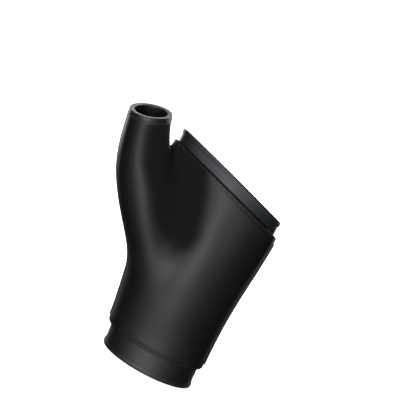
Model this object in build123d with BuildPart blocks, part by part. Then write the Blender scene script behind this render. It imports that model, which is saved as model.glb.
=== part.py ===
from build123d import *
from collections import namedtuple
from functools import lru_cache
from math import cos, radians, sqrt
import os

# Wrist and thumb support brace for a left hand, shaped as it is when worn.
# Two stretch layers in the form of a short fingerless glove: a thin inner sleeve,
# open at the cuff, at the fingers and at the thumb, and a thicker outer layer that
# stops short of the cuff and of the fingers. Two flat stays slide in pockets along
# the back, a curved stay is sewn in behind the thumb, and an elastic strap across
# the back of the wrist closes with hook and loop.
# Millimetres. The cuff stands on Z = 0 with its centre at the origin. The fingers
# point to +Z, the palm faces -Y and the thumb is on the -X side.

# ---- layers, measured outward from the hand ----
inner_thickness = 1.2  # inner sleeve
outer_thickness = 2.6  # outer layer
layer_gap = 0.1  # between two fabrics that lie on each other
body_gap = 0.3  # between pieces that move against each other
binding_thickness = 0.5  # tape that wraps a raw edge: on each side, and over the edge
thread_height, thread_width = 0.25, 0.7  # a row of stitches
tape_thickness, tape_width = 0.4, 5.0  # flat tape over a side seam
loop_thickness = 0.5  # loop fabric of the closure
strap_thickness = 1.4
hook_thickness = 1.1

# ---- forearm and hand, without the brace ----
cuff_breadth, cuff_palm_depth, cuff_back_depth = 57.0, 19.5, 19.4
wrist_height, wrist_breadth, wrist_palm_depth = 28.0, 58.6, 19.4
heel_height, heel_breadth, heel_palm_depth = 60.0, 64.4, 21.0
hand_height, hand_breadth, hand_palm_depth = 100.0, 72.8, 17.0
tip_breadth, tip_palm_depth = 72.0, 13.5
wrist_shift, heel_shift, hand_shift, tip_shift = 2.7, 5.7, 7.8, 9.9  # towards the thumb
back_taper = 0.031  # the back gets this much flatter for each millimetre towards the fingers
tip_margin = 10.2  # the last cross-section is this far above the finger opening

# ---- thumb: a tube that leaves the heel of the hand ----
# Each station says how far its centre is outside the hand's thumb side, how far it is
# towards the palm, its height, its breadth and depth, and the share of each fabric's
# thickness that is left where the fabric stretches over it.
ThumbStation = namedtuple("ThumbStation", "outside palmward height breadth depth wall")
thumb_stations = [
    ThumbStation(-20.8, 5.0, 40.0, 24.0, 22.0, 1.0),
    ThumbStation(-12.4, 5.5, 66.0, 27.0, 30.0, 1.0),
    ThumbStation(-2.1, 8.0, 87.0, 29.4, 33.0, 1.0),
    ThumbStation(9.6, 12.0, 106.0, 28.5, 30.0, 0.9),
    ThumbStation(18.6, 16.0, 125.0, 23.0, 25.0, 0.75),
    ThumbStation(22.6, 19.5, 142.0, 20.0, 21.5, 0.6),
]

# ---- openings ----
radial_corner_height = 139.8  # finger opening, by the forefinger
ulnar_corner_height = 117.0  # finger opening, by the little finger
finger_opening_tilt = 10.5  # degrees by which the palm edge is higher than the back edge
cuff_band = 14.0  # inner sleeve that shows below the outer layer
finger_band = 8.0  # inner sleeve that shows above the outer layer
binding_width = 3.0
thumb_binding_width = 4.0
stitch_inset = 1.0  # from the free edge of a binding or a hem to its row of stitches

# ---- stays ----
stay_width, stay_thickness, stay_length = 7.0, 0.6, 84.0
stay_tip_width, stay_tip_thickness, stay_tip_length = 8.0, 0.9, 6.0
stay_tip_corner, stay_tip_end = 2.4, 1.0
stay_bottom = 24.0  # height of the strips' lower ends
stay_spacing = 16.0  # between the two stays on the back
stay_depth = 1.15  # middle of a stay below the outer layer's surface
stay_clearance = 0.12  # all round, in the pocket
thumb_stay_width, thumb_stay_thickness = 8.0, 1.0
thumb_stay_low, thumb_stay_high = 72.0, 130.0  # heights of its two ends

# ---- strap across the back of the wrist ----
strap_width, strap_bottom = 42.0, 18.0
anchor_depth, fold_depth = 10.5, 16.0  # Y where the sewn end starts, and where the strap folds open
fold_gap = 0.4
strap_end_x = -8.0
hook_tab_length, hook_tab_end_width, hook_tab_corner = 18.0, 24.0, 8.0
loop_patch_left, loop_patch_right, loop_patch_corner = -31.0, 4.0, 3.0
loop_margin = 1.6  # loop patch beyond each side of the strap

# ---- worked out from the sizes above ----
tip_height = radial_corner_height + tip_margin
outer_inside = inner_thickness + layer_gap
outer_outside = outer_inside + outer_thickness
on_outer = outer_outside + layer_gap
loop_outside = on_outer + loop_thickness
strap_inside = loop_outside + thread_height + body_gap
strap_outside = strap_inside + strap_thickness
strap_top = strap_bottom + strap_width
far = 4 * tip_height  # reaches past the whole brace

ArmStation = namedtuple("ArmStation", "height centre_x breadth palm back")


# A cross-section of the forearm or hand. Its back is straight from the cuff to the fingers.
def arm_station(height, shift, breadth, palm):
    return ArmStation(height, -shift, breadth, palm, cuff_back_depth - back_taper * height)


arm_stations = [
    arm_station(0.0, 0.0, cuff_breadth, cuff_palm_depth),
    arm_station(wrist_height, wrist_shift, wrist_breadth, wrist_palm_depth),
    arm_station(heel_height, heel_shift, heel_breadth, heel_palm_depth),
    arm_station(hand_height, hand_shift, hand_breadth, hand_palm_depth),
    arm_station(tip_height, tip_shift, tip_breadth, tip_palm_depth),
]


# The cross-section at any height, from the stations below and above it.
def arm_at(height):
    above = next(station for station in arm_stations[1:] if station.height >= height)
    below = arm_stations[arm_stations.index(above) - 1]
    share = (height - below.height) / (above.height - below.height)
    return ArmStation(*[low + share * (high - low) for low, high in zip(below, above)])


# X of the hand's outermost line on the thumb side (-1) or the little finger's side (+1).
def side_x(height, side):
    section = arm_at(height)
    return section.centre_x + side * section.breadth / 2


# X of an offset surface on the little finger's side, at a distance Y towards the back.
def ulnar_x(height, y, offset):
    section = arm_at(height)
    half = section.breadth / 2 + offset
    return section.centre_x + half * sqrt(1 - (y / (section.back + offset)) ** 2)


radial_corner_x = side_x(radial_corner_height, -1) - inner_thickness
ulnar_corner_x = side_x(ulnar_corner_height, 1) + inner_thickness
web_x = radial_corner_x - outer_thickness - 2  # in the gap between hand and thumb
thumb_centres = [
    Vector(side_x(station.height, -1) - station.outside, -station.palmward, station.height)
    for station in thumb_stations
]


# The plane across the thumb at a station: X along its breadth, Z towards its tip.
def thumb_plane(index):
    last = len(thumb_centres) - 1
    along = thumb_centres[min(index + 1, last)] - thumb_centres[max(index - 1, 0)]
    across = Vector(0, 1, 0).cross(along)
    return Plane(origin=thumb_centres[index], x_dir=across, z_dir=along)


thumb_rim = thumb_plane(len(thumb_stations) - 1)


# ---- the shape that every fabric follows ----
# Forearm, hand and thumb as one solid, grown by an offset.
@lru_cache(maxsize=None)
def hand_form(offset):
    with BuildPart() as form:
        for section in arm_stations:
            centre = (section.centre_x, 0)
            half = section.breadth / 2 + offset
            with BuildSketch(Plane.XY.offset(section.height)):
                with BuildLine():
                    EllipticalCenterArc(centre, half, section.back + offset, 0, arc_size=180)
                    EllipticalCenterArc(centre, half, section.palm + offset, 180, arc_size=180)
                make_face()
        loft()
        for index, station in enumerate(thumb_stations):
            grown = offset * station.wall
            with BuildSketch(thumb_plane(index)):
                Ellipse(station.breadth / 2 + grown, station.depth / 2 + grown)
        loft()
    return form.part


# A shell round the hand, between two offsets. It is open at its three ends.
@lru_cache(maxsize=None)
def layer(inside, outside):
    outer_form = hand_form(outside)
    inner_form = hand_form(inside)
    with BuildPart() as shell:
        add(outer_form)
        add(inner_form, mode=Mode.SUBTRACT)
    return shell.part


# ---- zones that cut the shells into pieces ----
# Everything between two heights.
def height_zone(low, high):
    with BuildPart(Plane.XY.offset(low)) as zone:
        Box(far, far, high - low, align=(Align.CENTER, Align.CENTER, Align.MIN))
    return zone.part


# Everything from one depth to another below the finger opening, on the hand's side of the web.
def finger_zone(deep, shallow):
    edge_view = Plane.XZ.rotated((-finger_opening_tilt, 0, 0))
    radial = Vector(radial_corner_x, radial_corner_height * cos(radians(finger_opening_tilt)))
    ulnar = Vector(ulnar_corner_x, ulnar_corner_height * cos(radians(finger_opening_tilt)))
    run = (ulnar - radial).normalized()

    def edge_point(x, depth):
        return (x, radial.Y + run.Y * (x - radial.X) / run.X - depth / run.X)

    corners = [edge_point(web_x, deep), edge_point(far, deep), edge_point(far, shallow)]
    corners.append(edge_point(web_x, shallow))
    with BuildPart() as zone:
        with BuildSketch(edge_view):
            Polygon(*corners, align=None)
        extrude(amount=far, both=True)
    return zone.part


# A disc across the thumb, from one depth to another below its rim.
def thumb_zone(deep, shallow):
    with BuildPart() as zone:
        with BuildSketch(thumb_rim.offset(-deep)):
            Circle(web_x - thumb_rim.origin.X)
        extrude(amount=deep - shallow)
    return zone.part


# The palm's side of the side seams. On the thumb the seam follows the middle of the thumb.
def palm_zone():
    seam_line = [(centre.Y, centre.Z) for centre in thumb_centres[1:]]
    low_seam = seam_line[:2]
    with BuildPart() as zone:
        Box(2 * far, far, 2 * far, align=(Align.CENTER, Align.MAX, Align.CENTER))
        with BuildSketch(Plane.YZ.offset(web_x)):
            Polygon((0, wrist_height), *seam_line, (seam_line[-1][0], far), (0, far), align=None)
        extrude(amount=-far, mode=Mode.SUBTRACT)
        with BuildSketch(Plane.YZ.offset(-heel_shift)):
            Polygon((0, wrist_height), *low_seam, (0, low_seam[-1][1]), align=None)
        extrude(amount=-far, mode=Mode.SUBTRACT)
    return zone.part


# A strip along the thumb, seen from the back, as wide as the stay that is sewn in there.
def thumb_stay_zone(clearance):
    low = thumb_stay_low - clearance
    high = thumb_stay_high + clearance
    with BuildPart() as zone:
        with BuildSketch(Plane.XZ.offset(-thumb_rim.origin.Y)):
            with BuildLine():
                Spline(*[(centre.X, centre.Z) for centre in thumb_centres])
            trace(line_width=thumb_stay_width + 2 * clearance)
            with Locations((0, (low + high) / 2)):
                Rectangle(far, high - low, mode=Mode.INTERSECT)
        extrude(amount=-far)
    return zone.part


# A point on an offset surface of the back, at a distance across from the middle of the back.
def back_point(height, across, offset):
    section = arm_at(height)
    half = section.breadth / 2 + offset
    y = (section.back + offset) * sqrt(1 - (across / half) ** 2)
    return Vector(section.centre_x + across, y, height)


# Where a back stay lies: X across the stay, Y out of the back, Z along it from its lower end.
def stay_bed(across):
    offset = outer_outside - stay_depth
    low = back_point(stay_bottom, across, offset)
    along = (back_point(stay_bottom + stay_length, across, offset) - low).normalized()
    section = arm_at(stay_bottom + stay_length / 2)
    slope = across / (section.breadth / 2 + offset) ** 2
    outward = Vector(slope, low.Y / (section.back + offset) ** 2, 0)
    return Plane(origin=low, x_dir=outward.cross(along), z_dir=along)


# The outline of the strap's hook tab, seen from the back.
def hook_tab_zone():
    strap_middle = strap_bottom + strap_width / 2
    tip_x = strap_end_x - hook_tab_length
    with BuildPart() as zone:
        with BuildSketch(Plane.XZ) as outline:
            Polygon(
                (strap_end_x, strap_bottom),
                (strap_end_x, strap_top),
                (tip_x, strap_middle + hook_tab_end_width / 2),
                (tip_x, strap_middle - hook_tab_end_width / 2),
                align=None,
            )
            fillet(outline.vertices().group_by(Axis.X)[0], hook_tab_corner)
        extrude(amount=-far)
    return zone.part


os.makedirs("parts", exist_ok=True)

palm_side = palm_zone()
fold = binding_thickness + layer_gap  # a raw edge ends this far inside its binding
hem = 2 * stitch_inset + thread_width  # a side tape ends this far inside the outer layer's edge
above_fingers = finger_zone(fold, -far)
above_thumb = thumb_zone(fold, -far)
binding_inside = -binding_thickness
sleeve_binding_outside = inner_thickness + binding_thickness
thumb_binding_outside = outer_outside + binding_thickness

# ---- inner sleeve: a palm panel and a back panel, joined at the side seams ----
inner_shell = layer(0, inner_thickness)
inner_cuts = [height_zone(-far, fold), above_fingers, above_thumb]

with BuildPart() as inner_palm_panel:
    add(inner_shell)
    add(inner_cuts, mode=Mode.SUBTRACT)
    add(palm_side, mode=Mode.INTERSECT)
inner_palm_panel.part.label = "inner_palm_panel"
export_step(inner_palm_panel.part, "parts/inner_palm_panel.step")

with BuildPart() as inner_back_panel:
    add(inner_shell)
    add([*inner_cuts, palm_side], mode=Mode.SUBTRACT)
inner_back_panel.part.label = "inner_back_panel"
export_step(inner_back_panel.part, "parts/inner_back_panel.step")

# ---- outer layer: the back panel holds the pockets of the three stays ----
outer_shell = layer(outer_inside, outer_outside)
outer_cuts = [height_zone(-far, cuff_band), finger_zone(finger_band, -far), above_thumb]
stay_sides = {"radial": -1, "ulnar": 1}
stay_beds = {name: stay_bed(side * stay_spacing / 2) for name, side in stay_sides.items()}
thumb_stay_outside = outer_outside - stay_depth + thumb_stay_thickness / 2
thumb_stay_inside = thumb_stay_outside - thumb_stay_thickness
thumb_stay_shell = layer(thumb_stay_inside, thumb_stay_outside)
thumb_stay_strip = thumb_stay_zone(0)
thumb_pocket_shell = layer(thumb_stay_inside - stay_clearance, thumb_stay_outside + stay_clearance)
thumb_pocket_strip = thumb_stay_zone(stay_clearance)

with BuildPart() as thumb_pocket:
    add(thumb_pocket_shell)
    add(thumb_pocket_strip, mode=Mode.INTERSECT)

with BuildPart() as outer_palm_panel:
    add(outer_shell)
    add(outer_cuts, mode=Mode.SUBTRACT)
    add(palm_side, mode=Mode.INTERSECT)
outer_palm_panel.part.label = "outer_palm_panel"
export_step(outer_palm_panel.part, "parts/outer_palm_panel.step")

with BuildPart() as outer_back_panel:
    add(outer_shell)
    add([*outer_cuts, palm_side, thumb_pocket.part], mode=Mode.SUBTRACT)
    pocket_low = stay_tip_end + stay_clearance
    for bed in stay_beds.values():
        with Locations(bed.offset(-pocket_low)):
            Box(
                stay_tip_width + 2 * stay_clearance,
                stay_tip_thickness + 2 * stay_clearance,
                tip_height,
                align=(Align.CENTER, Align.CENTER, Align.MIN),
                mode=Mode.SUBTRACT,
            )
outer_back_panel.part.label = "outer_back_panel"
export_step(outer_back_panel.part, "parts/outer_back_panel.step")

# ---- thumb stay, shut in behind the thumb ----
with BuildPart() as thumb_stay:
    add(thumb_stay_shell)
    add(thumb_stay_strip, mode=Mode.INTERSECT)
thumb_stay.part.label = "thumb_stay"
export_step(thumb_stay.part, "parts/thumb_stay.step")

# ---- bindings: tape folded over the raw edges of the three openings ----
sleeve_binding_shell = layer(binding_inside, sleeve_binding_outside)
cuff_ring = height_zone(0, binding_width)
cuff_fold = height_zone(binding_thickness, far)
finger_ring = finger_zone(binding_width, 0)
finger_fold = finger_zone(far, binding_thickness)
thumb_binding_shell = layer(binding_inside, thumb_binding_outside)
both_layers = layer(0, outer_outside)
thumb_ring = thumb_zone(thumb_binding_width, 0)
thumb_fold = thumb_zone(2 * thumb_binding_width, binding_thickness)

with BuildPart() as cuff_slot:
    add(inner_shell)
    add(cuff_fold, mode=Mode.INTERSECT)

with BuildPart() as cuff_binding:
    add(sleeve_binding_shell)
    add(cuff_ring, mode=Mode.INTERSECT)
    add(cuff_slot.part, mode=Mode.SUBTRACT)
cuff_binding.part.label = "cuff_binding"
export_step(cuff_binding.part, "parts/cuff_binding.step")

with BuildPart() as finger_slot:
    add(inner_shell)
    add(finger_fold, mode=Mode.INTERSECT)

with BuildPart() as finger_binding:
    add(sleeve_binding_shell)
    add(finger_ring, mode=Mode.INTERSECT)
    add(finger_slot.part, mode=Mode.SUBTRACT)
finger_binding.part.label = "finger_binding"
export_step(finger_binding.part, "parts/finger_binding.step")

with BuildPart() as thumb_slot:
    add(both_layers)
    add(thumb_fold, mode=Mode.INTERSECT)

with BuildPart() as thumb_binding:
    add(thumb_binding_shell)
    add(thumb_ring, mode=Mode.INTERSECT)
    add(thumb_slot.part, mode=Mode.SUBTRACT)
thumb_binding.part.label = "thumb_binding"
export_step(thumb_binding.part, "parts/thumb_binding.step")

# ---- rows of stitches round the bindings and the outer layer's two hems ----
sleeve_thread = layer(sleeve_binding_outside, sleeve_binding_outside + thread_height)
thumb_thread = layer(thumb_binding_outside, thumb_binding_outside + thread_height)
hem_thread = layer(outer_outside, outer_outside + thread_height)
row_top = binding_width - stitch_inset
thumb_row_top = thumb_binding_width - stitch_inset
lower_hem_row = cuff_band + stitch_inset
upper_hem_row = finger_band + stitch_inset
stitch_rows = {
    "cuff_stitching": (sleeve_thread, height_zone(row_top - thread_width, row_top)),
    "finger_stitching": (sleeve_thread, finger_zone(row_top, row_top - thread_width)),
    "thumb_stitching": (thumb_thread, thumb_zone(thumb_row_top, thumb_row_top - thread_width)),
    "lower_hem_stitching": (hem_thread, height_zone(lower_hem_row, lower_hem_row + thread_width)),
    "upper_hem_stitching": (hem_thread, finger_zone(upper_hem_row + thread_width, upper_hem_row)),
}
for name, (shell, ring) in stitch_rows.items():
    with BuildPart() as row:
        add(shell)
        add(ring, mode=Mode.INTERSECT)
    row.part.label = name
    export_step(row.part, f"parts/{name}.step")

# ---- flat tapes over the side seams of the outer layer ----
tape_shell = layer(on_outer, on_outer + tape_thickness)
tape_ends = [
    height_zone(-far, cuff_band + hem),
    finger_zone(finger_band + hem, -far),
    thumb_zone(thumb_binding_width + layer_gap, -far),
]

with BuildPart() as ulnar_seam_tape:
    Box(far, tape_width, far, align=(Align.MIN, Align.CENTER, Align.CENTER))
    add(tape_shell, mode=Mode.INTERSECT)
    add(tape_ends, mode=Mode.SUBTRACT)
ulnar_seam_tape.part.label = "ulnar_seam_tape"
export_step(ulnar_seam_tape.part, "parts/ulnar_seam_tape.step")

radial_seam = [(0, 0), (0, wrist_height), *[(c.Y, c.Z) for c in thumb_centres[1:]]]
radial_seam.append((thumb_centres[-1].Y, far))
with BuildPart() as radial_seam_tape:
    with BuildSketch(Plane.YZ):
        palm_edge = [(y - tape_width / 2, z) for y, z in radial_seam]
        back_edge = [(y + tape_width / 2, z) for y, z in reversed(radial_seam)]
        Polygon(*palm_edge, *back_edge, align=None)
    extrude(amount=-far)
    with BuildSketch(Plane.XZ):
        thumb_axis = [(c.X, c.Z) for c in thumb_centres]
        low_end, high_end = (thumb_axis[0][0], -far), (thumb_axis[-1][0], far)
        Polygon(low_end, *thumb_axis, high_end, (far, far), (far, -far), align=None)
    extrude(amount=far, both=True, mode=Mode.SUBTRACT)
    add(tape_shell, mode=Mode.INTERSECT)
    add(tape_ends, mode=Mode.SUBTRACT)
radial_seam_tape.part.label = "radial_seam_tape"
export_step(radial_seam_tape.part, "parts/radial_seam_tape.step")

# ---- back stays: a flat spring strip with a moulded tip on each end ----
for name, bed in stay_beds.items():
    with BuildPart(bed) as strip:
        Box(stay_width, stay_thickness, stay_length, align=(Align.CENTER, Align.CENTER, Align.MIN))
    strip.part.label = f"{name}_back_stay"
    export_step(strip.part, f"parts/{name}_back_stay.step")

    tip_middle = stay_tip_length / 2 - stay_tip_end
    for end, height in [("lower", tip_middle), ("upper", stay_length - tip_middle)]:
        middle = bed.offset(height).origin
        with BuildPart() as tip:
            with BuildSketch(Plane(origin=middle, x_dir=bed.x_dir, z_dir=-bed.y_dir)):
                RectangleRounded(stay_tip_width, stay_tip_length, stay_tip_corner)
            extrude(amount=stay_tip_thickness / 2, both=True)
            add(strip.part, mode=Mode.SUBTRACT)
        tip.part.label = f"{name}_stay_{end}_tip"
        export_step(tip.part, f"parts/{name}_stay_{end}_tip.step")

# ---- loop patch on the back, with a row of stitches along its edge ----
patch_length = loop_patch_right - loop_patch_left
patch_width = strap_width + 2 * loop_margin
patch_centre = ((loop_patch_left + loop_patch_right) / 2, strap_bottom + strap_width / 2)
patch_shell = layer(on_outer, loop_outside)
patch_thread = layer(loop_outside, loop_outside + thread_height)
row_inset = (loop_margin - thread_width) / 2

with BuildPart() as loop_patch:
    with BuildSketch(Plane.XZ):
        with Locations(patch_centre):
            RectangleRounded(patch_length, patch_width, loop_patch_corner)
    extrude(amount=-far)
    add(patch_shell, mode=Mode.INTERSECT)
loop_patch.part.label = "loop_patch"
export_step(loop_patch.part, "parts/loop_patch.step")

with BuildPart() as loop_patch_stitching:
    with BuildSketch(Plane.XZ):
        with Locations(patch_centre):
            RectangleRounded(
                patch_length - 2 * row_inset, patch_width - 2 * row_inset, loop_patch_corner - row_inset
            )
            offset(amount=-thread_width, mode=Mode.SUBTRACT)
    extrude(amount=-far)
    add(patch_thread, mode=Mode.INTERSECT)
loop_patch_stitching.part.label = "loop_patch_stitching"
export_step(loop_patch_stitching.part, "parts/loop_patch_stitching.step")

# ---- the strap's sewn end, beside the fold, with a rectangle of stitches ----
strap_zone = height_zone(strap_bottom, strap_top)
anchor_shell = layer(on_outer, strap_outside)
strap_thread = layer(strap_outside, strap_outside + thread_height)
anchor_low, anchor_high = anchor_depth, fold_depth - fold_gap / 2

with BuildPart() as strap_anchor:
    with Locations((0, anchor_low, strap_bottom)):
        Box(far, anchor_high - anchor_low, strap_width, align=Align.MIN)
    add(anchor_shell, mode=Mode.INTERSECT)
strap_anchor.part.label = "strap_anchor"
export_step(strap_anchor.part, "parts/strap_anchor.step")

with BuildPart() as anchor_stitching:
    with BuildSketch(Plane.YZ):
        with Locations(((anchor_low + anchor_high) / 2, strap_bottom + strap_width / 2)):
            Rectangle(anchor_high - anchor_low - 2 * stitch_inset, strap_width - 2 * stitch_inset)
            offset(amount=-thread_width, mode=Mode.SUBTRACT)
    extrude(amount=far)
    add(strap_thread, mode=Mode.INTERSECT)
anchor_stitching.part.label = "anchor_stitching"
export_step(anchor_stitching.part, "parts/anchor_stitching.step")

# ---- strap: it folds open beside its sewn end, and a hook tab grips the loop patch ----
strap_shell = layer(strap_inside, strap_outside)
hook_outside = strap_inside + hook_thickness
hook_shell = layer(strap_inside, hook_outside)
hook_thread = layer(hook_outside, hook_outside + thread_height)
hook_outline = hook_tab_zone()

with BuildPart() as wrist_strap:
    with Locations((strap_end_x, fold_depth + fold_gap / 2, strap_bottom)):
        Box(far, far, strap_width, align=Align.MIN)
    add(strap_shell, mode=Mode.INTERSECT)
wrist_strap.part.label = "wrist_strap"
export_step(wrist_strap.part, "parts/wrist_strap.step")

with BuildPart() as hook_tab:
    add(hook_shell)
    add(hook_outline, mode=Mode.INTERSECT)
hook_tab.part.label = "hook_tab"
export_step(hook_tab.part, "parts/hook_tab.step")

with BuildPart() as hook_tab_stitching:
    with Locations((strap_end_x - stitch_inset, 0, strap_bottom + hem)):
        Box(thread_width, far, strap_width - 2 * hem, align=(Align.MAX, Align.MIN, Align.MIN))
    add(hook_thread, mode=Mode.INTERSECT)
hook_tab_stitching.part.label = "hook_tab_stitching"
export_step(hook_tab_stitching.part, "parts/hook_tab_stitching.step")
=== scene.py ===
import math

import bmesh
import bpy
import numpy as np
from mathutils import Matrix, Vector


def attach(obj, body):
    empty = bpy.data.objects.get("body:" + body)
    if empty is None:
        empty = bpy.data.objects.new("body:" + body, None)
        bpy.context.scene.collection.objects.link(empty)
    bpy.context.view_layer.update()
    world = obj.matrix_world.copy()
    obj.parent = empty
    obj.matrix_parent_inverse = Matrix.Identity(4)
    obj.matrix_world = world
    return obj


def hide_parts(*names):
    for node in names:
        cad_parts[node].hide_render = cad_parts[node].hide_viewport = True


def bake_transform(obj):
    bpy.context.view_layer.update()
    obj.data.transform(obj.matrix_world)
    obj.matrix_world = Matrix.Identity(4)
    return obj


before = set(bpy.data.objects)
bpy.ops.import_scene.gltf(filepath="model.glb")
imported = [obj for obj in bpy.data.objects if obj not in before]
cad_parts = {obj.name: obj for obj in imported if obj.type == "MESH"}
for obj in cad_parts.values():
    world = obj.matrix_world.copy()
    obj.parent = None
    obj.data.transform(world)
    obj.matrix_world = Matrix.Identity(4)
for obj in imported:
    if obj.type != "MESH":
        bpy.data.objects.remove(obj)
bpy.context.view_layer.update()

print("frame loaded")

# Lengths are in millimetres, as a maker would give them, and become metres when a mesh is made.
mm = 0.001

# ---- the hand that the brace is shaped on ----
hand = dict(
    height=[0.0, 28.0, 60.0, 100.0, 150.0],
    shift=[0.0, 2.7, 5.7, 7.8, 9.9],  # towards the thumb
    breadth=[57.0, 58.6, 64.4, 72.8, 72.0],
    palm=[19.5, 19.4, 21.0, 17.0, 13.5],
    backAtCuff=19.4,
    backTaper=0.031,
    wrist=40.0,
)
thumb = dict(
    height=[40.0, 66.0, 87.0, 106.0, 125.0, 142.0],
    outside=[-20.8, -12.4, -2.1, 9.6, 18.6, 22.6],
    palmward=[5.0, 5.5, 8.0, 12.0, 16.0, 19.5],
    breadth=[24.0, 27.0, 29.4, 28.5, 23.0, 20.0],
    depth=[22.0, 30.0, 33.0, 30.0, 25.0, 21.5],
    wall=[1.0, 1.0, 1.0, 0.9, 0.75, 0.6],  # what is left of a fabric where it stretches
    nearX=0.0,  # the thumb is left out of reckoning on the far side of these
    nearZ=38.0,
    far=60.0,  # further from the thumb than any seam or fillet reaches
    guessTop=160.0,
    top=170.0,
    leastWall=0.5,
)
layers = dict(
    inner=1.2,
    gap=0.1,
    outer=2.6,
    binding=0.5,
    thread=0.25,
    tape=0.4,
    loop=0.5,
    bodyGap=0.3,
    strap=1.4,
    hook=1.1,
)
openings = dict(
    radialHeight=139.8,
    ulnarHeight=117.0,
    tilt=10.5,
    cuffBand=14.0,
    fingerBand=8.0,
    bindingWidth=3.0,
    thumbBinding=4.0,
)
outerIn = layers["inner"] + layers["gap"]
outerOut = outerIn + layers["outer"]
onOuter = outerOut + layers["gap"]
loopOut = onOuter + layers["loop"]
strapIn = loopOut + layers["thread"] + layers["bodyGap"]
strapOut = strapIn + layers["strap"]


# natural cubic spline through the values, straight beyond its ends
def smoothCurve(knots, values):
    knots, values = np.array(knots, float), np.array(values, float)
    gap, n = np.diff(knots), len(knots)
    a, b = np.eye(n), np.zeros(n)
    for i in range(1, n - 1):
        a[i, i - 1 : i + 2] = gap[i - 1], 2 * (gap[i - 1] + gap[i]), gap[i]
        b[i] = 6 * ((values[i + 1] - values[i]) / gap[i] - (values[i] - values[i - 1]) / gap[i - 1])
    bend = np.linalg.solve(a, b)

    def at(t):
        t = np.asarray(t, float)
        inside = np.clip(t, knots[0], knots[-1])
        i = np.clip(np.searchsorted(knots, inside) - 1, 0, n - 2)
        h, left, right = gap[i], inside - knots[i], knots[i + 1] - inside
        y = (bend[i] * right**3 + bend[i + 1] * left**3) / (6 * h)
        y = y + (values[i] / h - bend[i] * h / 6) * right + (values[i + 1] / h - bend[i + 1] * h / 6) * left
        slope = (bend[i + 1] * left**2 - bend[i] * right**2) / (2 * h)
        slope = slope + (values[i + 1] - values[i]) / h - (bend[i + 1] - bend[i]) * h / 6
        return y + slope * (t - inside)

    return at


centreX = smoothCurve(hand["height"], [-s for s in hand["shift"]])
halfBreadth = smoothCurve(hand["height"], [b / 2 for b in hand["breadth"]])
palmDepth = smoothCurve(hand["height"], hand["palm"])
radialEdge = [-s - b / 2 for s, b in zip(hand["shift"], hand["breadth"])]
ulnarEdge = [b / 2 - s for s, b in zip(hand["shift"], hand["breadth"])]
radialSide = np.interp(thumb["height"], hand["height"], radialEdge)
thumbX = smoothCurve(thumb["height"], [s - o for s, o in zip(radialSide, thumb["outside"])])
thumbY = smoothCurve(thumb["height"], [-p for p in thumb["palmward"]])
thumbBreadth = smoothCurve(thumb["height"], [b / 2 for b in thumb["breadth"]])
thumbDepth = smoothCurve(thumb["height"], [d / 2 for d in thumb["depth"]])
thumbWall = smoothCurve(thumb["height"], thumb["wall"])


# how deep the hand is behind its middle, which is flat along its length
def backDepth(z):
    return hand["backAtCuff"] - hand["backTaper"] * np.asarray(z, float)


# from 0 to 1, smoothly, between two values
def ramp(value, low, high):
    t = np.clip((value - low) / (high - low), 0, 1)
    return t * t * (3 - 2 * t)


# how much an ellipse with half-axes a and b must grow to pass through a point, found by Newton's method
def growth(u, v, a, b, wall):
    d = (np.sqrt(u * u + v * v) - np.maximum(a, b)) / wall
    least = -0.8 * np.minimum(a, b) / wall  # never shrunk to nothing
    d = np.maximum(d, least)
    for _ in range(7):
        ga, gb = a + wall * d, b + wall * d
        value = (u / ga) ** 2 + (v / gb) ** 2 - 1
        steep = 2 * wall * (u * u / ga**3 + v * v / gb**3) + 1e-9
        d = np.maximum(d + value / steep, least)
    return d


# the middle line of the thumb, which is leaned towards the palm
def thumbLine(t):
    return np.stack([thumbX(t), thumbY(t), t], -1)


# across the thumb, towards its back, and along it
def thumbFrame(t):
    along = thumbLine(t + 0.5) - thumbLine(t - 0.5)
    along /= np.linalg.norm(along, axis=-1, keepdims=True)
    across = np.cross(np.array([0.0, 1.0, 0.0]), along)
    across /= np.linalg.norm(across, axis=-1, keepdims=True)
    return across, np.cross(along, across), along


# how far outside the hand a point is, and how far outside the thumb
def handGrowth(p):
    x, y, z = p.T
    depth = np.where(y < 0, palmDepth(z), backDepth(z))
    return growth(x - centreX(z), y, halfBreadth(z), depth, 1.0)


def thumbGrowth(p):
    found = np.full(len(p), thumb["far"])
    close = (p[:, 0] < thumb["nearX"]) & (p[:, 2] > thumb["nearZ"])
    p = p[close]
    t = np.clip(p[:, 2], thumb["height"][0], thumb["guessTop"])
    for _ in range(4):
        line = thumbLine(t)
        step = thumbLine(t + 0.5) - thumbLine(t - 0.5)
        t = np.clip(t + ((p - line) * step).sum(1) / (step * step).sum(1), thumb["height"][0], thumb["top"])
    across, back, along = thumbFrame(t)
    away = p - thumbLine(t)
    u, v, w = (away * across).sum(1), (away * back).sum(1), (away * along).sum(1)
    d = growth(u, v, thumbBreadth(t), thumbDepth(t), np.maximum(thumbWall(t), thumb["leastWall"]))
    found[close] = d + np.maximum(-w, 0)
    return found


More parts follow.
